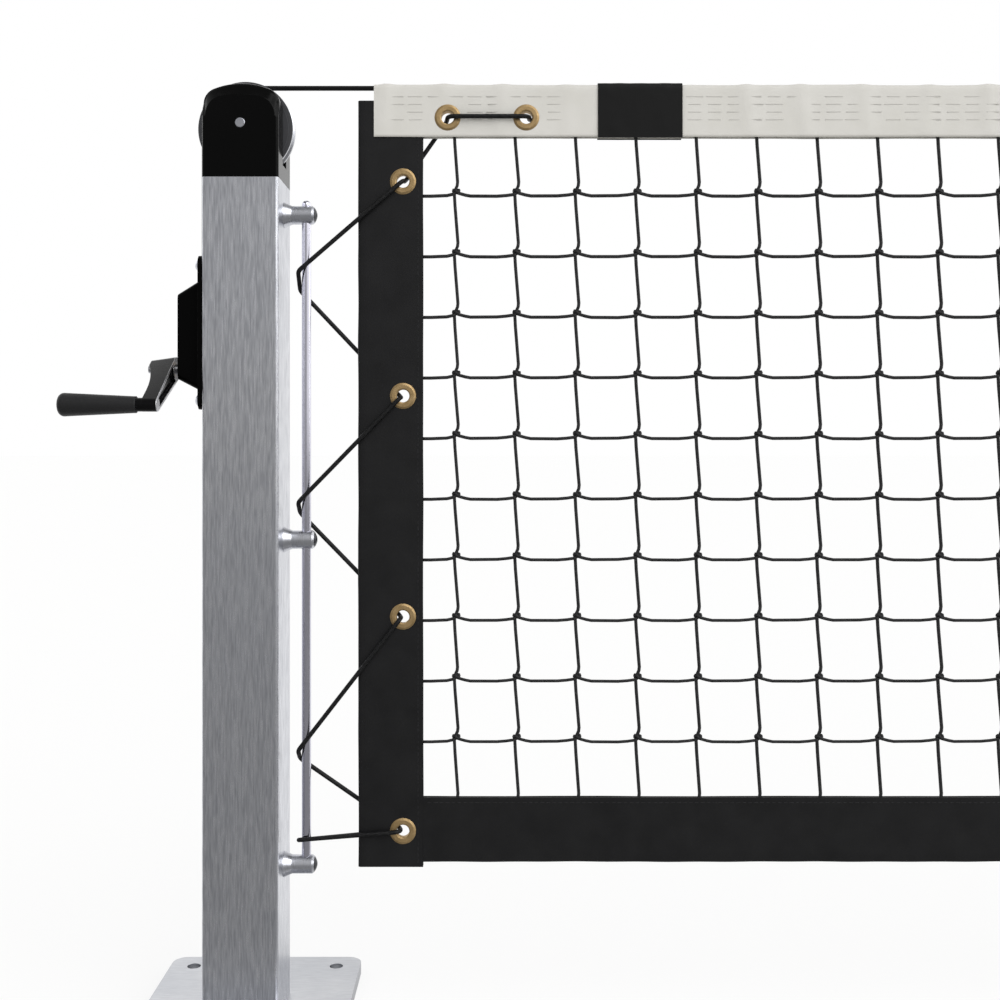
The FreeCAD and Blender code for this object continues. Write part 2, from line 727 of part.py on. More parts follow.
def worm_shaft():
    pitch = math.pi * gear_module
    length = worm_turns * pitch
    start = reel_x - length / 2
    root_r = worm_pitch_r - tooth_root * gear_module
    tip_r = worm_pitch_r + gear_module
    lean = math.tan(math.radians(tooth_lean))
    thick = pitch / 2 - gear_backlash

    def half_at(r):
        return thick / 2 - (r - worm_pitch_r) * lean

    bite = root_r - thread_bite
    corners = [V(bite, 0, -half_at(bite)), V(tip_r, 0, -half_at(tip_r)),
               V(tip_r, 0, half_at(tip_r)), V(bite, 0, half_at(bite)), V(bite, 0, -half_at(bite))]
    helix = Part.makeHelix(pitch, length, worm_pitch_r)
    thread = Part.Wire(helix.Edges).makePipeShell([Part.makePolygon(corners)], True, True)
    # The thread is made about Z. It is laid along X with a thread's middle under the wheel's axis.
    thread.rotate(V(0, 0, 0), axis_y, 90)
    thread.translate(V(start, worm_y, worm_z))
    in_x = -post_half + frame_in
    tail_x = in_x - frame_wall - side_gap
    end_x = hub_out_x + hub_end_wall
    body = rod(V(end_x, worm_y, worm_z), axis_x, start - end_x, worm_shaft_r)
    core_x = start - worm_core_over
    core = rod(V(core_x, worm_y, worm_z), axis_x, tail_x - core_x, root_r)
    tail = rod(V(tail_x, worm_y, worm_z), axis_x, in_x + side_gap - tail_x, worm_tail_r)
    shape = core.fuse(thread).fuse([body, tail])
    return shape.cut(rod(V(end_x, worm_y, worm_z), axis_x, crank_tap_depth, crank_screw_d / 2))


def wheel_outline(y, twist):
    # Straight-flanked teeth, a tooth gap at the bottom when untwisted.
    step = 2 * math.pi / wheel_teeth
    tip_r = wheel_pitch_r + gear_module
    root_r = wheel_pitch_r - tooth_root * gear_module
    lean = math.tan(math.radians(tooth_lean))
    thick = math.pi * gear_module / 2 - gear_backlash

    def half_angle(r):
        return (thick / 2 - (r - wheel_pitch_r) * lean) / r

    corners = []
    for i in range(wheel_teeth):
        middle = step * (i + 0.5) + twist
        for r, side in ((root_r, -1), (tip_r, -1), (tip_r, 1), (root_r, 1)):
            a = middle + side * half_angle(r)
            corners.append(V(reel_x - r * math.sin(a), y, winch_z - r * math.cos(a)))
    return Part.makePolygon(corners + corners[:1])


def worm_wheel():
    # The teeth lean by the worm's lead angle, so their twist over the width follows from it.
    half = wheel_width / 2
    twist = half / (worm_pitch_r * 2 / gear_module) / wheel_pitch_r
    sections = [wheel_outline(wheel_mid_y - half, -twist), wheel_outline(wheel_mid_y + half, twist)]
    shape = Part.makeLoft(sections, True, True)
    boss_y = wheel_mid_y - half - wheel_boss()
    boss = rod(V(reel_x, boss_y, winch_z), axis_y, wheel_boss(), reel_bore_r + reel_wall)
    shape = shape.fuse(boss)
    return shape.cut(rod(V(reel_x, -post_width, winch_z), axis_y, 2 * post_width, reel_bore_r + run_gap))


def cable_reel():
    start = wheel_mid_y + wheel_width / 2
    drum_r = reel_run_r - cable_r - soft_gap
    drum = rod(V(reel_x, start, winch_z), axis_y, reel_drum_length, drum_r)
    flange = rod(V(reel_x, start + reel_drum_length, winch_z), axis_y, reel_flange_thick, reel_flange_r)
    bore = rod(V(reel_x, -post_width, winch_z), axis_y, 2 * post_width, reel_bore_r + run_gap)
    hollow = ring(V(reel_x, start, winch_z), axis_y, reel_drum_length - reel_wall,
                  drum_r - reel_wall, reel_bore_r + reel_wall)
    return drum.fuse(flange).cut(bore).cut(hollow)


# Crank

def crank_outline(big, small, x):
    # Two circles joined by their tangents, in the plane the crank turns in.
    reach = math.hypot(crank_reach_y, crank_drop)
    along = V(0, -crank_reach_y / reach, -crank_drop / reach)
    over = V(0, -along.z, along.y)
    tilt = math.acos((big - small) / reach)
    centre = V(x, worm_y, worm_z)
    tip = centre + along * reach

    def at(base, r, angle):
        return base + along * (r * math.cos(angle)) + over * (r * math.sin(angle))

    return Part.Wire([
        Part.makeLine(at(centre, big, tilt), at(tip, small, tilt)),
        Part.Arc(at(tip, small, tilt), at(tip, small, 0), at(tip, small, -tilt)).toShape(),
        Part.makeLine(at(tip, small, -tilt), at(centre, big, -tilt)),
        Part.Arc(at(centre, big, -tilt), at(centre, -big, 0), at(centre, big, tilt)).toShape(),
    ])


def crank_arm():
    reach = math.hypot(crank_reach_y, crank_drop)
    along = V(0, -crank_reach_y / reach, -crank_drop / reach)
    over = V(0, -along.z, along.y)
    centre = V(0, worm_y, worm_z)
    handle = V(0, handle_y, handle_z)
    tip_x = hub_in_x - crank_tip_width
    # The hub narrows to its outer end.
    blank = Part.makeLoft([crank_outline(hub_end_d / 2, crank_tip_d / 2, hub_out_x),
                           crank_outline(hub_d / 2, crank_tip_d / 2, hub_in_x)], True, True)
    # Seen from above, the outer side sweeps in from the hub's length to the tip's width.

    def at(u, x):
        return centre + along * u + axis_x * x - over * hub_d

    curve = Part.Arc(at(hub_end_d / 2, hub_out_x), at(crank_waist, tip_x - crank_sweep),
                     at(reach - crank_tip_d, tip_x)).toShape()
    corners = [at(reach - crank_tip_d, tip_x), at(reach + hub_d, tip_x), at(reach + hub_d, hub_in_x),
               at(-hub_d, hub_in_x), at(-hub_d, hub_out_x), at(hub_end_d / 2, hub_out_x)]
    lines = [Part.makeLine(a, b) for a, b in zip(corners, corners[1:])]
    sweep = Part.Face(Part.Wire([curve] + lines)).extrude(over * (2 * hub_d))
    shape = blank.common(sweep)
    # The broad side towards the post is hollowed between the hub and the tip.
    pocket_x = hub_in_x - crank_pocket_depth
    pocket = Part.Face(crank_outline(hub_d / 2 - crank_rim, crank_tip_d / 2 - crank_rim, pocket_x))
    pocket = pocket.extrude(V(crank_pocket_depth, 0, 0))
    for place, d in ((centre, hub_d - crank_rim), (handle, crank_tip_d - crank_rim)):
        pocket = pocket.cut(rod(place + axis_x * pocket_x, axis_x, crank_pocket_depth, d / 2))
    shape = shape.cut(pocket)
    shape = shape.fuse(rod(handle + axis_x * (hub_in_x - boss_length), axis_x, boss_length, boss_d / 2))
    shape = shape.cut(rod(centre + axis_x * (hub_out_x + hub_end_wall), axis_x, hub_length, worm_shaft_r))
    shape = shape.cut(rod(centre + axis_x * hub_out_x, axis_x, hub_end_wall, crank_screw_d / 2))
    bore_length = boss_length - crank_tip_floor
    return shape.cut(rod(handle + axis_x * (hub_in_x - boss_length), axis_x, bore_length, handle_pin_d / 2))


def crank_screw():
    seat = V(hub_out_x, worm_y, worm_z)
    head = rod(seat, axis_x * -1, crank_screw_head, crank_screw_head_d / 2)
    socket = seat - axis_x * (crank_screw_head - crank_socket_depth)
    head = head.cut(hexagon(socket, axis_x * -1, crank_socket_depth, screw_socket))
    return head.fuse(rod(seat, axis_x, crank_screw_length, crank_screw_d / 2))


def grip_end_x():
    # The grip's inner end, just clear of the boss.
    return hub_in_x - boss_length - side_gap


def handle_pin():
    start = grip_end_x() - grip_length + grip_cap + side_gap
    end = hub_in_x - crank_tip_floor
    return rod(V(start, handle_y, handle_z), axis_x, end - start, handle_pin_d / 2)


def crank_grip():
    small, big, bore = grip_small_d / 2, grip_big_d / 2, handle_pin_d / 2 + run_gap
    inner, outer = grip_end_x(), grip_end_x() - grip_length
    base = V(0, handle_y, handle_z)

    def at(x, r):
        return base + axis_x * x + axis_z * r

    bend = grip_end_r * (1 - math.sqrt(0.5))
    corners = [at(outer, big - grip_end_r), at(outer, 0), at(outer + grip_cap, 0),
               at(outer + grip_cap, bore), at(inner, bore), at(inner, small - grip_edge),
               at(inner - grip_edge, small), at(inner - grip_lip, small), at(outer + grip_end_r, big)]
    lines = [Part.makeLine(a, b) for a, b in zip(corners, corners[1:])]
    nose = Part.Arc(corners[-1], at(outer + bend, big - bend), corners[0]).toShape()
    return Part.Face(Part.Wire(lines + [nose])).revolve(base, axis_x, 360)


# Cable

def winding():
    # The cable's turns on the reel, in quarter-turn arcs along the reel's axis.
    def at(turn):
        a = 2 * math.pi * turn
        return V(reel_x - reel_run_r * math.cos(a), winding_pitch * turn, winch_z - reel_run_r * math.sin(a))

    edges = []
    for i in range(round(4 * winding_turns)):
        edges.append(Part.Arc(at(i / 4), at((i + 0.5) / 4), at((i + 1) / 4)).toShape())
    path = Part.Wire(edges)
    start = V(0, winding_pitch / (2 * math.pi * reel_run_r), -1)
    circle = Part.Wire(Part.makeCircle(cable_r, at(0), start))
    points = path.discretize(Number=round(path.Length))
    half_turn = round(math.pi * reel_run_r)
    least = min((a - b).Length for i, a in enumerate(points) for b in points[i + half_turn:])
    print("winding, least gap to itself", round(least - cable_d, 2), "mm")
    return path.makePipeShell([circle], True, False), path.Length


def cable_route():
    # From the reel over the winch pulley, along the net and over the anchor pulley to the pin's eye.
    down_x = -pulley_run_r
    far_x = span + pulley_run_r
    pin_x = span + anchor_pin_out
    strand = cable_r + strand_gap / 2
    eye_r = anchor_pin_d / 2 + soft_gap + cable_r
    top = anchor_z + eye_height
    close, shoulder = top - eye_close, anchor_z + eye_shoulder
    points = [V(down_x, 0, winch_z), V(down_x, 0, cable_z), V(far_x, 0, cable_z),
              V(far_x, 0, top + cable_jog_high), V(pin_x - strand, 0, top + cable_jog_low),
              V(pin_x - strand, 0, close), V(pin_x - eye_r, 0, shoulder),
              V(pin_x - eye_r, 0, anchor_z - eye_r), V(pin_x + eye_r, 0, anchor_z - eye_r),
              V(pin_x + eye_r, 0, shoulder), V(pin_x + strand, 0, close),
              V(pin_x + strand, 0, top + ferrule_length + cable_tail)]
    round_pin = eye_r - least_run
    radii = [pulley_run_r, pulley_run_r, cable_jog_r, cable_jog_r, eye_neck_r, eye_neck_r,
             round_pin, round_pin, eye_neck_r, eye_neck_r]
    return points, radii


def tension_cable():
    points, radii = cable_route()
    run, length = tube(points, radii, cable_r)
    turns, turns_length = winding()
    section = math.pi * cable_r ** 2
    print("cable", round(length + turns_length), "mm, volume over section x length",
          round((run.Volume + turns.Volume) / (section * (length + turns_length)), 4))
    return run.fuse(turns)


def cable_ferrule():
    # A pressed sleeve round both strands.
    strand = cable_r + strand_gap / 2
    pin_x = span + anchor_pin_out
    z0 = anchor_z + eye_height
    outer = cable_r + ferrule_wall
    hole = cable_r + run_gap
    body = box(pin_x - strand, pin_x + strand, -outer, outer, z0, z0 + ferrule_length)
    for side in (-1, 1):
        body = body.fuse(rod(V(pin_x + side * strand, 0, z0), axis_z, ferrule_length, outer))
    for side in (-1, 1):
        body = body.cut(rod(V(pin_x + side * strand, 0, z0), axis_z, ferrule_length, hole))
    return body.removeSplitter()


def anchor_screw_places():
    x = span + post_half + anchor_plate_thick
    return [V(x, y, anchor_z + z) for y in (-anchor_screw_pitch_y / 2, anchor_screw_pitch_y / 2)
            for z in (-anchor_screw_pitch_z / 2, anchor_screw_pitch_z / 2)]


def anchor_post_tube():
    shape = mirrored(post_tube())
    for place in anchor_screw_places():
        depth = anchor_plate_thick + post_wall + past_face
        shape = shape.cut(rod(place, axis_x * -1, depth, screw_d / 2 + run_gap))
    return shape


def anchor_bracket():
    x0 = span + post_half
    x1 = x0 + anchor_plate_thick
    half_y, half_z = anchor_plate_width / 2, anchor_plate_height / 2
    shape = rounded_plate(x0, x1, -half_y, half_y, anchor_z - half_z, anchor_z + half_z, winch_plate_corner)
    pin_x = span + anchor_pin_out
    for y in (-anchor_ear_gap / 2 - anchor_ear_thick, anchor_ear_gap / 2):
        web = box(x1, pin_x, y, y + anchor_ear_thick, anchor_z - anchor_ear_r, anchor_z + anchor_ear_r)
        shape = shape.fuse([web, rod(V(pin_x, y, anchor_z), axis_y, anchor_ear_thick, anchor_ear_r)])
    shape = shape.cut(rod(V(pin_x, -post_half, anchor_z), axis_y, post_width, anchor_pin_d / 2 + run_gap))
    for place in anchor_screw_places():
        shape = shape.cut(rod(place, axis_x * -1, anchor_plate_thick, screw_d / 2 + run_gap))
    return shape.removeSplitter()


def anchor_pin():
    half = anchor_ear_gap / 2 + anchor_ear_thick
    pin_x = span + anchor_pin_out
    shape = rod(V(pin_x, -half, anchor_z), axis_y, 2 * half, anchor_pin_d / 2)
    for y in (-half - anchor_pin_head, half):
        shape = shape.fuse(rod(V(pin_x, y, anchor_z), axis_y, anchor_pin_head, anchor_pin_head_d / 2))
    return shape


def anchor_screws():
    return grouped([button_screw(p, axis_x, screw_length) for p in anchor_screw_places()])


# Net

def side_grommets():
    return [V(side_tape_x + side_grommet_inset, 0, z) for z in side_grommet_z]


def headband_grommets():
    return [V(x, 0, net_top - headband_grommet_drop) for x in headband_grommet_x]


def grommet_hole(place):
    return rod(place - axis_y * post_half, axis_y, post_width, grommet_hole_d / 2 + grommet_wall)


def side_tape():
    x1 = side_tape_x + tape_width
    shape = box(side_tape_x, x1, -tape_half, tape_half, side_tape_bottom, side_tape_top)
    slit = mesh_half + soft_gap
    shape = shape.cut(box(x1 - side_tape_slit, x1, -slit, slit, side_tape_bottom, side_tape_top))
    for place in side_grommets():
        shape = shape.cut(grommet_hole(place))
    return shape


def headband():
    half = headband_half
    slit = mesh_half + soft_gap
    shoulder = net_top - half
    x0, x1 = headband_x, span - headband_x

    def at(y, z):
        return V(x0, y, z)

    low = headband_bottom
    slit_top = low + headband_slit
    corners = [at(-half, shoulder), at(-half, low), at(-slit, low), at(-slit, slit_top), at(slit, slit_top),
               at(slit, low), at(half, low), at(half, shoulder)]
    lines = [Part.makeLine(a, b) for a, b in zip(corners, corners[1:])]
    crown = Part.Arc(at(half, shoulder), at(0, net_top), at(-half, shoulder)).toShape()
    shape = Part.Face(Part.Wire(lines + [crown])).extrude(V(x1 - x0, 0, 0))
    shape = shape.cut(rod(at(0, cable_z), axis_x, x1 - x0, cable_r + soft_gap))
    # A pocket at each end takes the side tape's upper end.
    pocket = tape_half + soft_gap
    end_x = side_tape_x + tape_width + soft_gap
    tuck = box(x0, end_x, -pocket, pocket, low, side_tape_top + soft_gap)
    shape = shape.cut(tuck).cut(mirrored(tuck))
    for place in headband_grommets():
        shape = shape.cut(grommet_hole(place)).cut(mirrored(grommet_hole(place)))
    return shape


def headband_patch():
    # A plain band folded over the headband.
    gap = soft_gap
    half = headband_half + gap
    low = headband_bottom - patch_overhang

    def outline(out):
        y = half + out
        top = net_top + gap + out
        shoulder = net_top - headband_half
        left = [V(patch_start, -y, shoulder), V(patch_start, -y, low)]
        right = [V(patch_start, y, low), V(patch_start, y, shoulder)]
        arc = Part.Arc(right[1], V(patch_start, 0, top), left[0]).toShape()
        corners = left + right
        lines = [Part.makeLine(a, b) for a, b in zip(corners, corners[1:])]
        return Part.Face(Part.Wire(lines + [arc])).extrude(V(patch_width, 0, 0))

    return outline(patch_ply).cut(outline(0))


def bottom_tape():
    x0 = side_tape_x + tape_width + soft_gap
    low = bottom_tape_bottom
    shape = box(x0, span - x0, -tape_half, tape_half, low, low + tape_width)
    slit = mesh_half + soft_gap
    return shape.cut(box(x0, span - x0, -slit, slit, low + tape_width - bottom_tape_slit, low + tape_width))


def net_mesh():
    # One flat holed face, thickened. The tapes and the headband take in its border.
    x0 = side_tape_x + tape_width - side_tape_slit + soft_gap
    x1 = span - x0
    z0 = bottom_tape_bottom + tape_width - bottom_tape_slit + soft_gap
    z1 = headband_bottom + headband_mesh_reach
    steps = math.floor((x1 - mesh_border - mesh_inset_x) / mesh_column_pitch)
    columns = [mesh_inset_x + mesh_column_pitch * i for i in range(steps + 1)]
    rows = [mesh_top_z - mesh_row_pitch * i for i in reversed(range(mesh_rows))]
    half = mesh_bar / 2
    lines_x = [x0 + mesh_border - half] + columns + [x1 - mesh_border + half]
    lines_z = [z0 + mesh_border - half] + rows + [z1 - mesh_border + half]

    def outline(left, right, below, above):
        corners = [V(left, -mesh_half, below), V(right, -mesh_half, below),
                   V(right, -mesh_half, above), V(left, -mesh_half, above)]
        return Part.makePolygon(corners + corners[:1])

    gaps = []
    for left, right in zip(lines_x, lines_x[1:]):
        for below, above in zip(lines_z, lines_z[1:]):
            gaps.append(Part.Face(outline(left + half, right - half, below + half, above - half)))
    sheet = Part.Face(outline(x0, x1, z0, z1)).cut(Part.makeCompound(gaps))
    print("net", len(gaps), "gaps")
    return sheet.Faces[0].extrude(V(0, 2 * mesh_half, 0))


def grommet(place, cloth_half):
    hole, outer = grommet_hole_d / 2, grommet_d / 2
    face = cloth_half + grommet_flange
    rim = cloth_half + grommet_edge
    half = [(face - grommet_lead_depth, hole), (face, hole + grommet_lead), (face, outer - grommet_slope),
            (rim, outer), (cloth_half, outer), (cloth_half, hole + grommet_wall)]
    other = [(-y, r) for y, r in reversed(half)]
    return spun(half + other, place, axis_y, axis_z)


def grommets():
    rings = [grommet(p, tape_half) for p in side_grommets()]
    rings += [grommet(p, headband_half) for p in headband_grommets()]
    return grouped(rings)


# Lacing

def lacing_route():
    # From behind the headband through its two grommets, then down the side tape and round the
    # rod three times. A last turn round the rod runs back behind the tape and is tied there.
    tape_y = tape_half + grommet_flange + soft_gap + lacing_r
    band_y = headband_half + grommet_flange + soft_gap + lacing_r
    near = rod_r + lacing_r + soft_gap
    turn_x = rod_x - near - lacing_turn_slack

    def through(place, offset, y):
        return V(place.x + offset[0], y, place.z + offset[1])

    first, second = headband_grommets()
    places = side_grommets()
    back = through(second, band_pass_second, band_y)
    points = [V(second.x + lacing_start, headband_half + soft_gap + knot_r, back.z), back,
              through(second, band_pass_second, -band_y), through(first, band_pass_front, -band_y),
              through(first, band_pass_back, band_y)]
    last = places[-1]
    fronts = lacing_turn_front + (last.z - tie_off_front,)
    backs = lacing_turn_back + (last.z - tie_off_back,)
    for place, offset, front_z, back_z in zip(places, side_pass, fronts, backs):
        points += [through(place, offset, tape_y), through(place, offset, -tape_y)]
        points += [V(turn_x, -near, front_z), V(turn_x, near, back_z)]
    for x, y, z in tie_off_run:
        points.append(V(side_tape_x + x, tape_half + y, last.z + z))
    return points


def lacing_radii(points):
    radii = []
    for i in range(1, len(points) - 1):
        back, on = points[i - 1] - points[i], points[i + 1] - points[i]
        room = arc_share * min(back.Length, on.Length) * math.tan(back.getAngle(on) / 2)
        radii.append(min(room, rod_r + lacing_r - lacing_bend_slack))
    return radii


def lacing_cord():
    points = lacing_route()
    radii = lacing_radii(points)
    shape, length = tube(points, radii, lacing_r)
    share = shape.Volume / (math.pi * lacing_r ** 2 * length)
    print("lacing", round(length), "mm, volume over section x length", round(share, 4),
          "radii", [round(r, 1) for r in radii])
    return shape


def lacing_knots():
    points = lacing_route()
    start = points[0] + (points[0] - points[1]).normalize() * (knot_r + soft_gap)
    end = points[-1] + (points[-1] - points[-2]).normalize() * (knot_r + soft_gap)
    return grouped([Part.makeSphere(knot_r, start), Part.makeSphere(knot_r, end)])


nodes = {
    "winch_post_tube": winch_post_tube(),
    "winch_post_base_plate": base_plate(),
    "winch_post_cap": pulley_cap(),
    "winch_post_cap_screws": cap_screws(),
    "winch_pulley": pulley(),
    "winch_pulley_bush": pulley_bush(),
    "winch_pulley_axle": pulley_axle(),
    "winch_post_lacing_rod": lacing_rod(),
    "winch_post_rod_standoffs": standoffs(),
    "winch_post_clamp_screws": clamp_screws(),
    "winch_post_rivet_nuts": rivet_nuts(),
    "winch_mounting_plate": winch_plate(),
    "winch_plate_screws": winch_screws(),
    "winch_housing": winch_housing(),
    "winch_gear_frame": gear_frame(),
    "winch_reel_axle": reel_axle(),
    "winch_worm_bushes": worm_bushes(),
    "worm_shaft": worm_shaft(),
    "worm_wheel": worm_wheel(),
    "cable_reel": cable_reel(),
    "crank_arm": crank_arm(),
    "crank_screw": crank_screw(),
    "crank_handle_pin": handle_pin(),
    "crank_grip": crank_grip(),
    "tension_cable": tension_cable(),
    "cable_ferrule": cable_ferrule(),
    "headband": headband(),
    "headband_patch": headband_patch(),
    "side_tape_left": side_tape(),
    "side_tape_right": mirrored(side_tape()),
    "bottom_tape": bottom_tape(),
    "net_mesh": net_mesh(),
    "grommets_left": grommets(),
    "grommets_right": mirrored(grommets()),
    "lacing_cord_left": lacing_cord(),
    "lacing_cord_right": mirrored(lacing_cord()),
    "lacing_knots_left": lacing_knots(),
    "lacing_knots_right": mirrored(lacing_knots()),
    "anchor_post_tube": anchor_post_tube(),
    "anchor_post_base_plate": mirrored(base_plate()),
    "anchor_post_cap": mirrored(pulley_cap()),
    "anchor_post_cap_screws": mirrored(cap_screws()),
    "anchor_pulley": mirrored(pulley()),
    "anchor_pulley_bush": mirrored(pulley_bush()),
    "anchor_pulley_axle": mirrored(pulley_axle()),
    "anchor_post_lacing_rod": mirrored(lacing_rod()),
    "anchor_post_rod_standoffs": mirrored(standoffs()),
    "anchor_post_clamp_screws": mirrored(clamp_screws()),
    "anchor_post_rivet_nuts": mirrored(rivet_nuts()),
    "cable_anchor_bracket": anchor_bracket(),
    "cable_anchor_pin": anchor_pin(),
    "cable_anchor_screws": anchor_screws(),
}

os.makedirs("parts", exist_ok=True)
for name, shape in nodes.items():
    state = "valid" if shape.isValid() else "NOT VALID"
    print(name, state, len(shape.Solids), "solids", round(shape.Volume), "mm3")
    shape.exportStep("parts/" + name + ".step")
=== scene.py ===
import math
import random

import bmesh
import bpy
from mathutils import Matrix, Vector, noise


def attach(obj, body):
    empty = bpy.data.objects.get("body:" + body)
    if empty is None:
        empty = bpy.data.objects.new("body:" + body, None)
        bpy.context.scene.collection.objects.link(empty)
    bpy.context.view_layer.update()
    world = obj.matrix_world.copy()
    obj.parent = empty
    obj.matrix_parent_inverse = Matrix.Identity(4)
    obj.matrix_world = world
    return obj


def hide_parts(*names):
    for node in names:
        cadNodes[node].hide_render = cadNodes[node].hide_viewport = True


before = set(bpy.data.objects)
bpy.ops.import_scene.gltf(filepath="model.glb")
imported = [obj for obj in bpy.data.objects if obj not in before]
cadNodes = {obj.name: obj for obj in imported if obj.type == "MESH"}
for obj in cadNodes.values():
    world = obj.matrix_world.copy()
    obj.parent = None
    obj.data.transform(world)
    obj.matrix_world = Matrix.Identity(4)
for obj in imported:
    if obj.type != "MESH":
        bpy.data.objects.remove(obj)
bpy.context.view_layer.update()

scene = bpy.context.scene
print("frame loaded,", len(cadNodes), "nodes")


def metres(*millimetres):
    return Vector(millimetres) * 0.001


def shade(red, green, blue):
    # A colour as it shows on a screen, 0 to 255, as the shader wants it.
    return tuple(c / 255 / 12.92 if c < 10.3 else ((c / 255 + 0.055) / 1.055) ** 2.4
                 for c in (red, green, blue)) + (1.0,)


# Node trees

def addNode(tree, kind, feeds=None, **settings):
    # Sockets are linked and other values set. It gives the node's outputs.
    node = tree.nodes.new(kind)
    for name, value in settings.items():
        setattr(node, name, value)
    for socket, value in (feeds or {}).items():
        if isinstance(value, bpy.types.NodeSocket):
            tree.links.new(value, node.inputs[socket])
        else:
            node.inputs[socket].default_value = value
    return node.outputs


def mathNode(tree, operation, a, b=0.0, clamp=False):
    return addNode(tree, "ShaderNodeMath", {0: a, 1: b}, operation=operation, use_clamp=clamp)[0]


def product(tree, a, b):
    return mathNode(tree, "MULTIPLY", a, b)


def vectorNode(tree, operation, a, b=(0, 0, 0)):
    second = {"Scale": b} if operation == "SCALE" else {1: b}
    results = addNode(tree, "ShaderNodeVectorMath", {0: a} | second, operation=operation)
    return results["Value" if operation == "DOT_PRODUCT" else "Vector"]


def axes(tree, vector):
    return addNode(tree, "ShaderNodeSeparateXYZ", {0: vector})


def spread(tree, value, low, high, toLow=0.0, toHigh=1.0):
    feeds = {"Value": value, "From Min": low, "From Max": high, "To Min": toLow, "To Max": toHigh}
    return addNode(tree, "ShaderNodeMapRange", feeds)["Result"]


def blendColours(tree, share, first, second):
    return addNode(tree, "ShaderNodeMix", {0: share, 6: first, 7: second}, data_type="RGBA")[2]


def tint(tree, tone, mask, amount, colour):
    # The colour over the tone where the mask shows, by the amount.
    return blendColours(tree, product(tree, mask, amount), tone, colour)


def softNoise(tree, place, scale, detail=3.0):
    feeds = {"Vector": place, "Scale": scale, "Detail": detail}
    return addNode(tree, "ShaderNodeTexNoise", feeds)["Fac"]


def cloudy(tree, place, scale, detail=3.0):
    # Noise drawn out to reach from 0 to 1.
    return spread(tree, softNoise(tree, place, scale, detail), 0.3, 0.7)


def objectPlace(tree):
    return addNode(tree, "ShaderNodeTexCoord")["Object"]


def ownMap(tree):
    return addNode(tree, "ShaderNodeUVMap", uv_map="UVMap")[0]


def nodeGroup(name, inputs, outputs, kind="ShaderNodeTree"):
    # An input has its first value, which tells its kind, or else the name of its kind.
    group = bpy.data.node_groups.new(name, kind)
    kinds = {int: "Int", float: "Float", tuple: "Vector"}
    for title, value in inputs.items():
        socket = "NodeSocket" + kinds.get(type(value), value)
        made = group.interface.new_socket(title, in_out="INPUT", socket_type=socket)
        if not isinstance(value, str):
            made.default_value = value
    for title, socket in outputs.items():
        group.interface.new_socket(title, in_out="OUTPUT", socket_type="NodeSocket" + socket)
    return group, group.nodes.new("NodeGroupInput").outputs, group.nodes.new("NodeGroupOutput").inputs


def putOut(group, made, results):
    for title, result in results.items():
        group.links.new(result, made[title])
    return group


def edgeGroup():
    # How near a point is to an edge, broken up by noise, and a normal that rounds the edge.
    group, given, made = nodeGroup("edgeWear", {"Radius": 0.0008, "Breakup": 300.0},
                                   {"Mask": "Float", "Normal": "Vector"})
    rounded = addNode(group, "ShaderNodeBevel", {"Radius": given["Radius"]}, samples=4)[0]
    flat = addNode(group, "ShaderNodeNewGeometry")["Normal"]
    bend = mathNode(group, "SUBTRACT", 1.0, vectorNode(group, "DOT_PRODUCT", rounded, flat))
    near = spread(group, bend, 0.02, 0.2)
    broken = spread(group, softNoise(group, objectPlace(group), given["Breakup"]), 0.4, 0.65)
    return putOut(group, made, {"Mask": product(group, near, broken), "Normal": rounded})


def grainGroup():
    # Fine lines drawn out by the stretch, and a wide cloud over them.
    group, given, made = nodeGroup("grain", {"Stretch": (900, 900, 9), "Cloud": 5.0},
                                   {"Lines": "Float", "Cloud": "Float"})
    place = objectPlace(group)
    lines = cloudy(group, vectorNode(group, "MULTIPLY", place, given["Stretch"]), 1.0, 2.0)
    return putOut(group, made, {"Lines": lines, "Cloud": cloudy(group, place, given["Cloud"], 2.0)})


def turnedGroup():
    # Turning marks round an axis along Y through the centre.
    group, given, made = nodeGroup("turnedMarks", {"Centre": (0, 0, 0), "Fineness": 1400.0},
                                   {"Rings": "Float"})
    away = axes(group, vectorNode(group, "SUBTRACT", objectPlace(group), given["Centre"]))
    squares = mathNode(group, "ADD", product(group, away[0], away[0]), product(group, away[2], away[2]))
    depth = product(group, away[1], 0.6)
    across = addNode(group, "ShaderNodeCombineXYZ", {0: mathNode(group, "SQRT", squares), 1: depth})
    return putOut(group, made, {"Rings": cloudy(group, across[0], given["Fineness"], 1.0)})


def dustGroup():
    # Dust that settles on what faces up, and faint scuffs.
    group, given, made = nodeGroup("dust", {"Scale": 60.0}, {"Dust": "Float", "Scuffs": "Float"})
    place = objectPlace(group)
    up = axes(group, addNode(group, "ShaderNodeNewGeometry")["Normal"])[2]
    patchy = spread(group, softNoise(group, place, given["Scale"], 5.0), 0.42, 0.7)
    streaks = softNoise(group, vectorNode(group, "MULTIPLY", place, (240, 900, 120)), 1.0)
    return putOut(group, made, {"Dust": product(group, spread(group, up, 0.3, 1.0), patchy),
                                "Scuffs": spread(group, streaks, 0.6, 0.75)})


def weaveGroup():
    # A plain weave on the UV map, which is in metres, under its coating.
    group, given, made = nodeGroup("weave", {"Thread": 0.0009}, {"Height": "Float", "Mottle": "Float"})
    turns = axes(group, vectorNode(group, "SCALE", ownMap(group),
                                   mathNode(group, "DIVIDE", math.pi, given["Thread"])))
    over = product(group, mathNode(group, "SINE", turns[0]), mathNode(group, "SINE", turns[1]))
    return putOut(group, made, {"Height": spread(group, over, -1.0, 1.0),
                                "Mottle": cloudy(group, objectPlace(group), 35.0)})


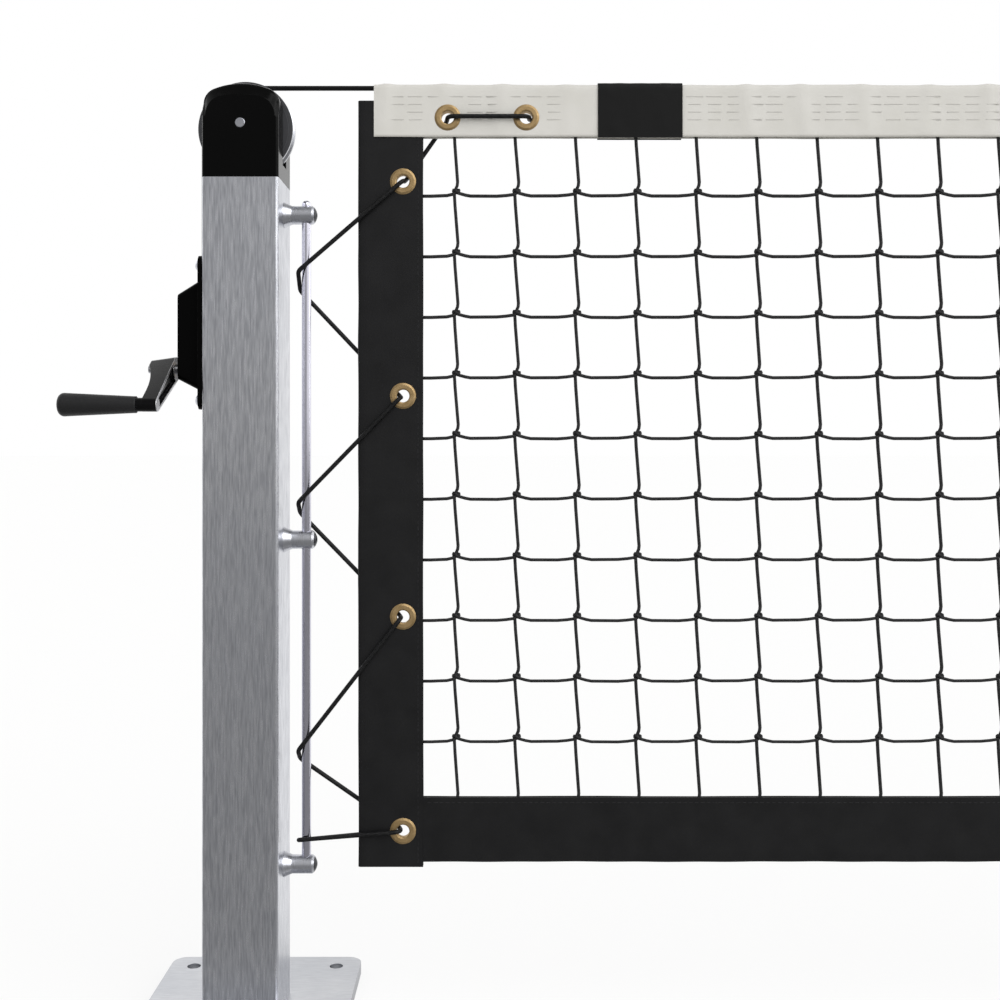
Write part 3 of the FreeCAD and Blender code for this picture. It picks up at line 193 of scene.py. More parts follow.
def braidGroup():
    # Strands laid round a cord: U goes once round it and V is metres along it.
    group, given, made = nodeGroup("braid", {"Strands": 4.0, "Lay": 0.009, "Crossing": 1.0},
                                   {"Height": "Float", "Mottle": "Float"})
    own = axes(group, ownMap(group))
    around = product(group, own[0], given["Strands"])
    along = mathNode(group, "DIVIDE", own[1], given["Lay"])
    right, left = [mathNode(group, "SINE", product(group, mathNode(group, way, around, along), 2 * math.pi))
                   for way in ("ADD", "SUBTRACT")]
    strands = mathNode(group, "MAXIMUM", right, product(group, left, given["Crossing"]))
    return putOut(group, made, {"Height": spread(group, strands, -1.0, 1.0),
                                "Mottle": cloudy(group, objectPlace(group), 90.0)})


effects = {"edge": edgeGroup(), "grain": grainGroup(), "turned": turnedGroup(), "dust": dustGroup(),
           "weave": weaveGroup(), "braid": braidGroup()}


def effect(tree, name, **feeds):
    return addNode(tree, "ShaderNodeGroup", feeds, node_tree=effects[name])


# Finishes

def newMaterial(name):
    material = bpy.data.materials.new(name)
    material.use_nodes = True
    material.node_tree.nodes.clear()
    return material, material.node_tree


def surfaceFeeds(tree, look, tone, rough, height, edge=None, metallic=0.0):
    # What the finish's shader takes. The height is pressed into the surface, or into the edge's normal.
    feeds = {"Height": height, "Strength": look["bump"], "Distance": look["depth"]}
    if edge is not None:
        feeds["Normal"] = edge["Normal"]
    return {"Base Color": tone, "Metallic": metallic, "Roughness": rough,
            "Specular IOR Level": look["gloss"], "Normal": addNode(tree, "ShaderNodeBump", feeds)[0]}


def metalFinish(tree, look):
    edge = effect(tree, "edge", Radius=look["edge"])
    grain = effect(tree, "grain", Stretch=look["stretch"], Cloud=look["cloud"])
    lines, metallic = grain["Lines"], 1.0
    tone = blendColours(tree, grain["Cloud"], look["colour"], look["second"])
    if "centre" in look:
        # Dark faces with a bare rim and groove.
        lines = effect(tree, "turned", Centre=look["centre"])["Rings"]
        across = mathNode(tree, "ABSOLUTE", axes(tree, objectPlace(tree))[1])
        coated = spread(tree, across, look["coatFrom"], look["coatFrom"] + 0.0001)
        tone = blendColours(tree, coated, tone, look["coat"])
        metallic = spread(tree, coated, 0.0, 1.0, 1.0, 0.3)
    tone = tint(tree, tone, lines, look["lineShade"], look["dark"])
    tone = tint(tree, tone, edge["Mask"], look["wear"], look["bright"])
    rough = spread(tree, lines, 0.0, 1.0, look["roughness"] - 0.05, look["roughness"] + 0.07)
    return surfaceFeeds(tree, look, tone, rough, lines, edge, metallic)


def paintFinish(tree, look):
    edge = effect(tree, "edge", Radius=look["edge"])
    dust = effect(tree, "dust", Scale=look["dustScale"])
    skin = effect(tree, "grain", Stretch=look["stretch"], Cloud=look["cloud"])
    tone = blendColours(tree, skin["Cloud"], look["colour"], look["second"])
    tone = tint(tree, tone, edge["Mask"], look["wear"], look["bright"])
    tone = tint(tree, tone, dust["Dust"], look["dust"], look["dustColour"])
    rough = spread(tree, skin["Cloud"], 0.0, 1.0, look["roughness"] - 0.03, look["roughness"] + 0.05)
    rough = mathNode(tree, "ADD", rough, product(tree, dust["Scuffs"], 0.12))
    rough = mathNode(tree, "ADD", rough, product(tree, dust["Dust"], 0.25))
    bare = 0.0
    if "bareFrom" in look:
        # Ground bare on the flat rim round the pocket.
        bare = spread(tree, axes(tree, objectPlace(tree))[0], look["bareFrom"], look["bareFrom"] + 0.0002)
        tone = blendColours(tree, bare, tone, look["bare"])
        rough = mathNode(tree, "ADD", rough, product(tree, bare, 0.12))
    return surfaceFeeds(tree, look, tone, rough, skin["Lines"], edge, bare)


def clothFinish(tree, look):
    weave = effect(tree, "weave", Thread=look["thread"])
    dust = effect(tree, "dust", Scale=look["dustScale"])
    tone = blendColours(tree, weave["Mottle"], look["colour"], look["second"])
    # Painted shade: the weave's low parts are darkened, standing in for shade between the threads.
    tone = tint(tree, tone, weave["Height"], 0.3, look["valley"])
    tone = tint(tree, tone, dust["Dust"], look["dust"], look["dustColour"])
    if "low" in look:
        # Painted shade along the lower edge, for the shadow at the hem.
        height = axes(tree, objectPlace(tree))[2]
        grime = spread(tree, height, look["low"] + 0.0025, look["low"], 0.0, 0.7)
        tone = blendColours(tree, grime, tone, look["grime"])
    rough = spread(tree, weave["Mottle"], 0.0, 1.0, look["roughness"] - 0.05, look["roughness"] + 0.06)
    return surfaceFeeds(tree, look, tone, rough, weave["Height"])


def cordFinish(tree, look):
    braid = effect(tree, "braid", Strands=look["strands"], Lay=look["lay"], Crossing=look["crossing"])
    fuzz = effect(tree, "grain", Stretch=(2200, 2200, 2200), Cloud=30.0)["Lines"]
    tone = blendColours(tree, braid["Mottle"], look["colour"], look["second"])
    # Painted shade: the grooves between the braid's strands are darkened, standing in for shade between
    # them.
    tone = blendColours(tree, spread(tree, braid["Height"], 0.0, 0.6, 0.8, 0.0), tone, look["valley"])
    rough = spread(tree, fuzz, 0.0, 1.0, look["roughness"] - 0.06, look["roughness"] + 0.08)
    height = mathNode(tree, "ADD", braid["Height"], product(tree, fuzz, 0.15))
    return surfaceFeeds(tree, look, tone, rough, height)


# The tones are as they show on a screen, lengths are metres, and "stretch" and "cloud" are noise scales.
metalUsual = {"edge": 0.0006, "cloud": 5.0, "lineShade": 0.25, "wear": 0.3, "bump": 0.25, "depth": 0.00004,
              "gloss": 0.5}
pulleyMetal = {
    "tones": ((204, 205, 210), (192, 194, 200), (120, 122, 128), (238, 238, 242)), "roughness": 0.22,
    "stretch": (300, 300, 300), "coat": shade(60, 60, 62), "coatFrom": 0.0083}
metalLooks = {
    "brushedAluminium": {
        "tones": ((230, 231, 235), (224, 226, 233), (158, 160, 167), (246, 246, 248)), "roughness": 0.3,
        "stretch": (700, 700, 55), "cloud": 2.5, "lineShade": 0.7},
    "turnedAluminium": {
        "tones": ((206, 207, 212), (198, 200, 207), (160, 162, 168), (238, 238, 240)), "roughness": 0.3,
        "stretch": (1500, 60, 60), "cloud": 20.0, "lineShade": 0.1, "bump": 0.05},
    "milledAluminium": {
        "tones": ((206, 207, 210), (190, 192, 197), (150, 152, 157), (238, 238, 240)), "roughness": 0.34,
        "stretch": (90, 1200, 1200), "cloud": 9.0},
    "zincSteel": {
        "tones": ((196, 197, 206), (188, 187, 198), (140, 140, 150), (232, 232, 238)), "roughness": 0.26,
        "stretch": (500, 500, 60), "cloud": 30.0, "lineShade": 0.1, "bump": 0.05},
    "screwSteel": {
        "tones": ((205, 206, 212), (190, 192, 200), (130, 132, 140), (240, 240, 244)), "roughness": 0.16,
        "stretch": (700, 700, 700), "cloud": 60.0, "edge": 0.0003},
    "rodSteel": {
        "tones": ((216, 215, 226), (211, 210, 221), (180, 180, 190), (240, 240, 246)), "roughness": 0.13,
        "stretch": (300, 300, 8), "cloud": 6.0, "lineShade": 0.05, "bump": 0.0},
    "blackOxide": {
        "tones": ((74, 75, 78), (64, 65, 68), (40, 40, 42), (120, 120, 124)), "roughness": 0.34,
        "stretch": (700, 700, 700), "cloud": 60.0, "edge": 0.0003},
    "gearSteel": {
        "tones": ((150, 150, 152), (128, 128, 132), (70, 68, 66), (205, 205, 208)), "roughness": 0.3,
        "stretch": (900, 90, 900), "cloud": 60.0},
    "bearingBronze": {
        "tones": ((176, 138, 84), (158, 116, 66), (96, 66, 36), (214, 180, 124)), "roughness": 0.32,
        "stretch": (900, 900, 900), "cloud": 80.0},
    "antiqueBrass": {
        "tones": ((198, 171, 127), (180, 153, 109), (122, 98, 64), (206, 186, 142)), "roughness": 0.58,
        "stretch": (500, 500, 500), "cloud": 160.0, "lineShade": 0.2, "bump": 0.1, "edge": 0.0004,
        "wear": 0.4},
    "winchPulleyMetal": pulleyMetal | {"centre": (0.0, 0.0, 0.8688)},
    "anchorPulleyMetal": pulleyMetal | {"centre": (6.779, 0.0, 0.8688)},
}
paintUsual = {
    "edge": 0.001, "cloud": 9.0, "dustScale": 60.0, "dustColour": shade(128, 124, 116), "bump": 0.05,
    "depth": 0.00005}
paintLooks = {
    "blackCasting": {
        "tones": ((3, 3, 3), (6, 6, 6), (80, 80, 82)), "roughness": 0.14, "stretch": (420, 420, 420),
        "wear": 0.3, "dust": 0.01, "gloss": 0.08},
    "blackPlate": {
        "tones": ((3, 3, 3), (5, 5, 5), (70, 70, 72)), "roughness": 0.16, "stretch": (800, 800, 800),
        "wear": 0.25, "dust": 0.01, "gloss": 0.04},
    "crankGloss": {
        "tones": ((8, 8, 9), (12, 12, 13), (120, 120, 124)), "roughness": 0.16,
        "stretch": (300, 300, 300), "wear": 0.4, "dust": 0.03, "gloss": 0.09, "bareFrom": -0.0673,
        "bare": shade(232, 232, 234)},
    "gripPlastic": {
        "tones": ((27, 27, 28), (33, 33, 34), (80, 80, 82)), "roughness": 0.46,
        "stretch": (1600, 1600, 1600), "wear": 0.35, "dust": 0.06, "gloss": 0.25, "bump": 0.3,
        "depth": 0.00008},
}
clothUsual = {"dustScale": 25.0, "dustColour": shade(150, 146, 136), "gloss": 0.2, "depth": 0.0001}
clothLooks = {
    # The white vinyl darkens along the headband's lower edge: painted shade, for the shadow at the hem.
    "whiteVinyl": {
        "tones": ((207, 205, 200), (201, 199, 193), (190, 188, 181)), "dust": 0.12, "roughness": 0.42,
        "thread": 0.0011, "bump": 0.18, "low": 0.8624, "grime": shade(130, 127, 120)},
    "blackVinyl": {
        "tones": ((22, 22, 23), (27, 27, 28), (13, 13, 14)), "dust": 0.06, "roughness": 0.5,
        "thread": 0.0012, "bump": 0.35},
    "patchCloth": {
        "tones": ((11, 11, 11), (15, 15, 15), (9, 9, 9)), "dust": 0.05, "roughness": 0.58,
        "thread": 0.0009, "bump": 0.4},
}
cordUsual = {"gloss": 0.2}
threadUsual = {
    "roughness": 0.6, "strands": 3.0, "lay": 0.002, "crossing": 0.0, "bump": 0.4, "depth": 0.0001}
cordLooks = {
    "cableJacket": {
        "tones": ((12, 12, 13), (17, 17, 18), (7, 7, 8)), "roughness": 0.3, "strands": 6.0, "lay": 0.028,
        "crossing": 0.0, "bump": 0.2, "depth": 0.0002},
    "netTwine": {
        "tones": ((34, 34, 35), (43, 43, 44), (20, 20, 20)), "roughness": 0.62, "strands": 2.0,
        "lay": 0.007, "crossing": 0.6, "bump": 0.6, "depth": 0.0003},
    "lacingBraid": {
        "tones": ((18, 18, 19), (27, 27, 28), (6, 6, 6)), "roughness": 0.5, "strands": 4.0, "lay": 0.009,
        "crossing": 1.0, "bump": 0.7, "depth": 0.0003},
    "whiteThread": threadUsual | {"tones": ((188, 186, 181), (178, 176, 171), (140, 138, 134))},
    "blackThread": threadUsual | {"tones": ((36, 36, 37), (46, 46, 48), (16, 16, 17))},
}
finishes = {}
makers = ((metalFinish, ("colour", "second", "dark", "bright"), metalUsual, metalLooks),
          (paintFinish, ("colour", "second", "bright"), paintUsual, paintLooks),
          (clothFinish, ("colour", "second", "valley"), clothUsual, clothLooks),
          (cordFinish, ("colour", "second", "valley"), cordUsual, cordLooks))
for make, tones, usual, looks in makers:
    for name, look in looks.items():
        colours = {tone: shade(*values) for tone, values in zip(tones, look["tones"])}
        finishes[name], tree = newMaterial(name)
        surface = addNode(tree, "ShaderNodeBsdfPrincipled", make(tree, usual | look | colours))[0]
        addNode(tree, "ShaderNodeOutputMaterial", {"Surface": surface})
print("finishes made,", len(finishes))


# Hard parts keep the frame's own shapes

def bothPosts(*names):
    return tuple(post + name for name in names for post in ("winch_", "anchor_"))


nodeFinishes = {
    "brushedAluminium": bothPosts("post_tube"),
    "milledAluminium": bothPosts("post_base_plate"),
    "turnedAluminium": bothPosts("post_rod_standoffs"),
    "blackCasting": bothPosts("post_cap"),
    "blackPlate": ("winch_mounting_plate", "winch_housing", "cable_anchor_bracket"),
    "crankGloss": ("crank_arm",),
    "gripPlastic": ("crank_grip",),
    "winchPulleyMetal": ("winch_pulley",),
    "anchorPulleyMetal": ("anchor_pulley",),
    "rodSteel": bothPosts("post_lacing_rod"),
    "zincSteel": bothPosts("post_rivet_nuts") + ("winch_gear_frame", "winch_reel_axle", "cable_ferrule",
                                                 "cable_anchor_pin", "crank_handle_pin", "cable_reel"),
    "screwSteel": bothPosts("post_cap_screws", "pulley_axle") + ("winch_plate_screws", "crank_screw",
                                                                 "cable_anchor_screws"),
    "blackOxide": bothPosts("post_clamp_screws"),
    "gearSteel": ("worm_shaft", "worm_wheel"),
    "bearingBronze": bothPosts("pulley_bush") + ("winch_worm_bushes",),
    "antiqueBrass": ("grommets_left", "grommets_right"),
}
for finishName, names in nodeFinishes.items():
    for name in names:
        cadNodes[name].data.materials.clear()
        cadNodes[name].data.materials.append(finishes[finishName])
print("hard parts finished")


# Mesh helpers

def newObject(name, data):
    thing = bpy.data.objects.new(name, data)
    scene.collection.objects.link(thing)
    return thing


def meshObject(name, corners, faces=()):
    mesh = bpy.data.meshes.new(name)
    mesh.from_pydata([tuple(c) for c in corners], [], faces)
    return newObject(name, mesh)


def meshPiece(name, corners, faces, uvs, finish):
    piece = meshObject(name, corners, faces)
    layer = piece.data.uv_layers.new(name="UVMap")
    layer.data.foreach_set("uv", [value for uv in uvs for value in uv])
    piece.data.materials.append(finishes[finish])
    piece.data.shade_smooth()
    return piece


def tubeAlong(name, path, radius, sides, finish):
    count = len(path)
    tangents = [(path[min(i + 1, count - 1)] - path[max(i - 1, 0)]).normalized() for i in range(count)]
    side = tangents[0].orthogonal().normalized()
    corners, reaches, reach = [], [], 0.0
    for i, (point, tangent) in enumerate(zip(path, tangents)):
        if i:
            side = tangents[i - 1].rotation_difference(tangent) @ side
            side = (side - tangent * side.dot(tangent)).normalized()
            reach += (point - path[i - 1]).length
        reaches.append(reach)
        up = tangent.cross(side)
        for k in range(sides):
            angle = 2 * math.pi * k / sides
            corners.append(point + (side * math.cos(angle) + up * math.sin(angle)) * radius)
    faces, uvs = [], []
    for i in range(count - 1):
        for k in range(sides):
            a, b = i * sides + k, i * sides + (k + 1) % sides
            faces.append((a, b, b + sides, a + sides))
            low, high = k / sides, (k + 1) / sides
            uvs += [(low, reaches[i]), (high, reaches[i]), (high, reaches[i + 1]), (low, reaches[i + 1])]
    faces += [tuple(reversed(range(sides))), tuple(range((count - 1) * sides, count * sides))]
    uvs += [(0.0, 0.0)] * (2 * sides)
    return meshPiece(name, corners, faces, uvs, finish)


def roundedPath(points, radii, step):
    # Straight runs joined by arcs, one radius for each inner corner.
    path = [points[0]]
    for i, radius in enumerate(radii):
        back = (points[i] - points[i + 1]).normalized()
        on = (points[i + 2] - points[i + 1]).normalized()
        turn = math.pi - back.angle(on)
        if turn < 1e-4:
            path.append(points[i + 1])
            continue
        start = points[i + 1] + back * radius * math.tan(turn / 2)
        centre = points[i + 1] + (back + on).normalized() * radius / math.cos(turn / 2)
        axis = (-back).cross(on).normalized()
        pieces = max(3, math.ceil(turn * radius / step))
        for k in range(pieces + 1):
            path.append(centre + Matrix.Rotation(turn * k / pieces, 3, axis) @ (start - centre))
    return path + [points[-1]]


def dress(piece, slot, *nodes):
    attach(piece, "root")
    if nodes:
        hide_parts(*nodes)
    return piece


def plainMesh(piece):
    # The evaluated shape becomes the piece's own mesh and its modifiers go.
    graph = bpy.context.evaluated_depsgraph_get()
    mesh = bpy.data.meshes.new_from_object(piece.evaluated_get(graph), depsgraph=graph)
    piece.modifiers.clear()
    piece.data = mesh
    return piece


def joined(name, pieces):
    shape = bmesh.new()
    for piece in pieces:
        shape.from_mesh(piece.data)
    mesh = bpy.data.meshes.new(name)
    shape.to_mesh(mesh)
    shape.free()
    for material in pieces[0].data.materials:
        mesh.materials.append(material)
    for piece in pieces:
        bpy.data.objects.remove(piece)
    return newObject(name, mesh)


# The coated cable, from the reel over both pulleys to its eye, in millimetres

cableSizes = {
    "radius": 2.4, "sides": 20, "step": 2.5, "reel": (-22.0, 667.0), "windings": 2.5,
    "windingRadius": 20.0, "windingPitch": 5.3, "windingPoints": 24,
    "route": ((-42.0, 667.0), (-42.0, 910.8), (6821.0, 910.8), (6821.0, 736.0), (6829.4, 706.0),
              (6829.4, 658.0), (6823.3, 646.0), (6823.3, 631.3), (6840.7, 631.3), (6840.7, 646.0),
              (6834.6, 658.0), (6834.6, 684.0)),
    "radii": (42.0, 42.0, 60.0, 60.0, 8.0, 8.0, 8.69, 8.69, 8.0, 8.0)}


def makeCable(sizes):
    x, z = sizes["reel"]
    r, points = sizes["windingRadius"], sizes["windingPoints"]
    path = []
    for i in range(round(points * sizes["windings"]), 0, -1):
        a = 2 * math.pi * i / points
        path.append(metres(x - r * math.cos(a), sizes["windingPitch"] * i / points, z - r * math.sin(a)))
    route = [metres(px, 0, pz) for px, pz in sizes["route"]]
    path += roundedPath(route, [radius * 0.001 for radius in sizes["radii"]], sizes["step"] * 0.001)
    cable = tubeAlong("coatedCable", path, sizes["radius"] * 0.001, sizes["sides"], "cableJacket")
    return dress(cable, "cable_jacket", "tension_cable")


makeCable(cableSizes)
print("cable laid")


# The knotted net, in millimetres

def repeatPoints(tree, given):
    # Points in rows: their index gives each its column and row.
    count = product(tree, given["Columns"], given["Rows"])
    index = addNode(tree, "GeometryNodeInputIndex")[0]
    column = mathNode(tree, "MODULO", index, given["Columns"])
    share = mathNode(tree, "DIVIDE", mathNode(tree, "ADD", index, 0.5), given["Columns"])
    row = mathNode(tree, "FLOOR", share)
    place = given["Start"]
    for step, turns in (("Column Step", column), ("Row Step", row)):
        place = vectorNode(tree, "ADD", place, vectorNode(tree, "SCALE", given[step], turns))
    return addNode(tree, "GeometryNodePoints", {"Count": count, "Position": place})[0]


def objectShape(tree, chosen):
    return addNode(tree, "GeometryNodeObjectInfo", {"Object": chosen})["Geometry"]


def placeParts(tree, given, made, points, turn, size):
    part = objectShape(tree, given["Part"])
    feeds = {"Points": points, "Instance": part, "Rotation": turn, "Scale": size}
    parts = addNode(tree, "GeometryNodeInstanceOnPoints", feeds)[0]
    whole = addNode(tree, "GeometryNodeRealizeInstances", {0: parts})[0]
    coloured = addNode(tree, "GeometryNodeSetMaterial", {"Geometry": whole, "Material": given["Finish"]})
    return putOut(tree, made, {"Geometry": coloured[0]})


def rowTree(name, more):
    inputs = {"Geometry": "Geometry", "Part": "Object", "Columns": 2, "Rows": 2, "Start": (0, 0, 0),
              "Column Step": (0.06, 0, 0), "Row Step": (0, 0, -0.06), "Size": (1, 1, 1), "Seed": 1,
              "Finish": "Material"}
    return nodeGroup(name, inputs | more, {"Geometry": "Geometry"}, "GeometryNodeTree")


def partGridTree():
    tree, given, made = rowTree("partGrid", {"Turn": (0, 0, 0)})
    points = repeatPoints(tree, given)
    limits = {0: vectorNode(tree, "SCALE", given["Turn"], -1.0), 1: given["Turn"], 8: given["Seed"]}
    turn = addNode(tree, "FunctionNodeRandomValue", limits, data_type="FLOAT_VECTOR")[0]
    return placeParts(tree, given, made, points, turn, given["Size"])


def grow(name, tree, settings):
    piece = newObject(name, bpy.data.meshes.new(name))
    modifier = piece.modifiers.new("grow", "NODES")
    modifier.node_group = tree
    for item in tree.interface.items_tree:
        if item.in_out == "INPUT" and item.name in settings:
            modifier[item.identifier] = settings[item.name]
    return plainMesh(piece)


netSizes = {
    "firstColumn": 204.7, "columns": 109, "columnPitch": 59.18, "topRow": 810.1, "rows": 10,
    "rowPitch": 59.35, "tapeEnd": 166.0, "apart": 0.35, "uprightRadius": 1.7, "crossRadius": 1.65,
    "cordSides": 6, "footStretch": 1.1, "knotRadius": 1.6, "knotSides": 5, "knotPoints": 13,
    "knotTurn": 12.5, "knotWidth": 2.8, "knotHeight": 1.5, "knotDepth": 1.3, "knotSway": (0.1, 0.16, 0.1),
    "uprightSway": (0.0, 0.008, 0.0), "crossSway": (0.0, 0.01, 0.0),
    "upright": ((0, 0), (-1.8, -2.8), (-1.2, -14), (1.7, -50.5), (1.3, -54), (-0.2, -57.4), (0, -59.35)),
    "cross": ((0, -1.2), (3.5, -2.4), (9, -3.9), (14, -4.8), (40, -4.8), (49, -4.1), (56, -3.1),
              (59.18, -1.6)),
    "leftEnd": ((0, -5.0), (14, -5.0), (29.7, -4.4), (35, -3.2), (38.7, -1.4)),
    "rightEnd": ((0, -1.2), (3.5, -2.4), (9, -3.9), (17, -4.6))}


def makeNet(sizes):
    pitch, rowPitch = sizes["columnPitch"], sizes["rowPitch"]
    columns, rows = sizes["columns"], sizes["rows"]
    first, top = sizes["firstColumn"], sizes["topRow"]
    twine = "netTwine"
    tree = partGridTree()

    def cord(part, y, radius):
        path = [metres(x, y, z) for x, z in sizes[part]]
        return tubeAlong(part + "Part", path, radius * 0.001, sizes["cordSides"], twine)

    def repeated(name, part, columnCount, rowCount, x, z, **more):
        settings = {"Part": part, "Columns": columnCount, "Rows": rowCount, "Start": metres(x, 0, z),
                    "Column Step": metres(pitch, 0, 0), "Row Step": metres(0, 0, -rowPitch),
                    "Finish": finishes[twine]}
        return grow(name, tree, settings | more)

    knotPath = []
    for i in range(sizes["knotPoints"]):
        a = 2 * math.pi * (i + 0.25) / sizes["knotTurn"]
        knotPath.append(metres(sizes["knotWidth"] * math.sin(a), sizes["knotDepth"] * math.cos(a),
                               sizes["knotHeight"] * math.sin(2 * a)))
    knot = tubeAlong("knotPart", knotPath, sizes["knotRadius"] * 0.001, sizes["knotSides"], twine)
    upright = cord("upright", sizes["apart"], sizes["uprightRadius"])
    cross, leftEnd, rightEnd = [cord(part, -sizes["apart"], sizes["crossRadius"])
                                for part in ("cross", "leftEnd", "rightEnd")]
    knots = repeated("netKnots", knot, columns, rows, first, top, Seed=3, Turn=sizes["knotSway"])
    uprights = repeated("netUprights", upright, columns, rows, first, top + rowPitch, Seed=4,
                        Turn=sizes["uprightSway"])
    feet = repeated("netFeet", upright, columns, 1, first, top - rowPitch * (rows - 1), Seed=5,
                    Size=(1, 1, sizes["footStretch"]))
    crosses = repeated("netCrosses", cross, columns - 1, rows, first, top, Seed=6, Turn=sizes["crossSway"])
    leftEnds = repeated("netLeftEnds", leftEnd, 1, rows, sizes["tapeEnd"], top)
    rightEnds = repeated("netRightEnds", rightEnd, 1, rows, first + pitch * (columns - 1), top)
    for part in (knot, upright, cross, leftEnd, rightEnd):
        bpy.data.objects.remove(part)
    dress(knots, "net_cord", "net_mesh")
    dress(joined("netUprightCords", [uprights, feet]), "net_cord", "net_mesh")
    dress(joined("netCrossCords", [crosses, leftEnds, rightEnds]), "net_cord", "net_mesh")


makeNet(netSizes)
print("net knotted")


# Folded vinyl: headband, patch and tapes, in metres

def uProfile(sizes):
    # Up the front, round the fold and down the back, in (away from the middle, up) pairs.
    half, low, high, crown = sizes["half"], sizes["low"], sizes["high"], sizes["crownSteps"]
    straight = max(2, round((high - half - low) / sizes["profileStep"]))
    rise = [low + (high - half - low) * i / straight for i in range(straight)]
    profile = [Vector((-half, q)) for q in rise]
    for i in range(crown + 1):
        a = math.pi * (1 - i / crown)
        profile.append(Vector((half * math.cos(a), high - half + half * math.sin(a))))
    return profile + [Vector((half, q)) for q in reversed(rise)]


def foldedShell(name, sizes, place, relief, finish):
    # The profile is the fold's outer side, swept along the run. The wall closes both sides and the edges.
    length = sizes["end"] - sizes["start"]
    lengthSteps = math.ceil(length / sizes["step"])
    runs = [sizes["start"] + length * i / lengthSteps for i in range(lengthSteps + 1)]
    profile = uProfile(sizes)
    count = len(profile)
    normals, reaches, reach = [], [], 0.0
    for j, point in enumerate(profile):
        along = (profile[min(j + 1, count - 1)] - profile[max(j - 1, 0)]).normalized()
        normals.append(Vector((-along.y, along.x)))
        reach += (point - profile[max(j - 1, 0)]).length
        reaches.append(reach)
    corners, uvMap = [], []
    for run in runs:
        for depth in (0.0, sizes["wall"]):
            for j, (point, normal) in enumerate(zip(profile, normals)):
                at = point + normal * (relief(run, point, reaches[j]) - depth)
                corners.append(place(run, at.x, at.y))
                uvMap.append((run, reaches[j]))
    faces = []
    ring = [*range(count), *reversed(range(count, 2 * count))]
    for i in range(len(runs) - 1):
        base = 2 * count * i
        for a, b in zip(ring, ring[1:] + ring[:1]):
            faces.append((base + a, base + b, base + 2 * count + b, base + 2 * count + a))
    last = 2 * count * (len(runs) - 1)
    for j in range(count - 1):
        faces.append((j, j + 1, count + j + 1, count + j))
        faces.append((last + j, last + count + j, last + count + j + 1, last + j + 1))
    piece = meshPiece(name, corners, faces, [uvMap[c] for face in faces for c in face], finish)
    shape = bmesh.new()
    shape.from_mesh(piece.data)
    bmesh.ops.recalc_face_normals(shape, faces=shape.faces)
    shape.to_mesh(piece.data)
    shape.free()
    piece.data.set_sharp_from_angle(angle=math.radians(50))
    return piece


def punchHoles(piece, places, radius):
    shape = bmesh.new()
    for place in places:
        turn = Matrix.Translation(place) @ Matrix.Rotation(math.pi / 2, 4, "X")
        bmesh.ops.create_cone(shape, cap_ends=True, segments=32, radius1=radius, radius2=radius, depth=0.05,
                              matrix=turn)
    mesh = bpy.data.meshes.new("cutter")
    shape.to_mesh(mesh)
    shape.free()
    cutter = newObject("cutter", mesh)
    modifier = piece.modifiers.new("holes", "BOOLEAN")
    modifier.operation, modifier.solver, modifier.object = "DIFFERENCE", "EXACT", cutter
    plainMesh(piece)
    bpy.data.objects.remove(cutter)


def soft(distance, reach):
    # 0 at the point, 1 from its reach on.
    share = min(1.0, abs(distance) / reach)
    return share * share * (3 - 2 * share)


def ruffle(scale, *place):
    # Noise at a place, each of its numbers times its own scale.
    return noise.noise(Vector([s * p for s, p in zip(scale, place)]))


spanLength = 6.779          # between the posts' middles
columnPitch = netSizes["columnPitch"] * 0.001
firstColumn = netSizes["firstColumn"] * 0.001
bandSizes = {
    "start": 0.1245, "end": 6.6545, "step": 0.005, "low": 0.8624, "high": 0.9144, "half": 0.0043,
    "wall": 0.0012, "profileStep": 0.0045, "crownSteps": 8, "grommets": (0.1965, 0.2732),
    "grommetZ": 0.8812, "hole": 0.0071, "flange": 0.0135, "fade": 0.012, "patchMargin": 0.002,
    "patchFade": 0.016, "hem": 0.004, "hemFade": 0.01, "crease": 0.0015, "creaseLeast": 0.4,
    "creaseWidth": 0.007, "creaseBefore": 0.012, "creaseStray": 0.004, "lean": 0.12, "leanFrom": 0.89,
    "dimple": 0.0003, "dimpleScale": (22, 9, 90), "middle": 0.885, "ripple": 0.0008,
    "liftScale": (14, 3.1, 0.7), "liftFade": 0.03, "slack": 0.0004, "sinkScale": (19, 7.3, 1.9),
    "sinkFade": 0.02, "sinkShare": 0.6}


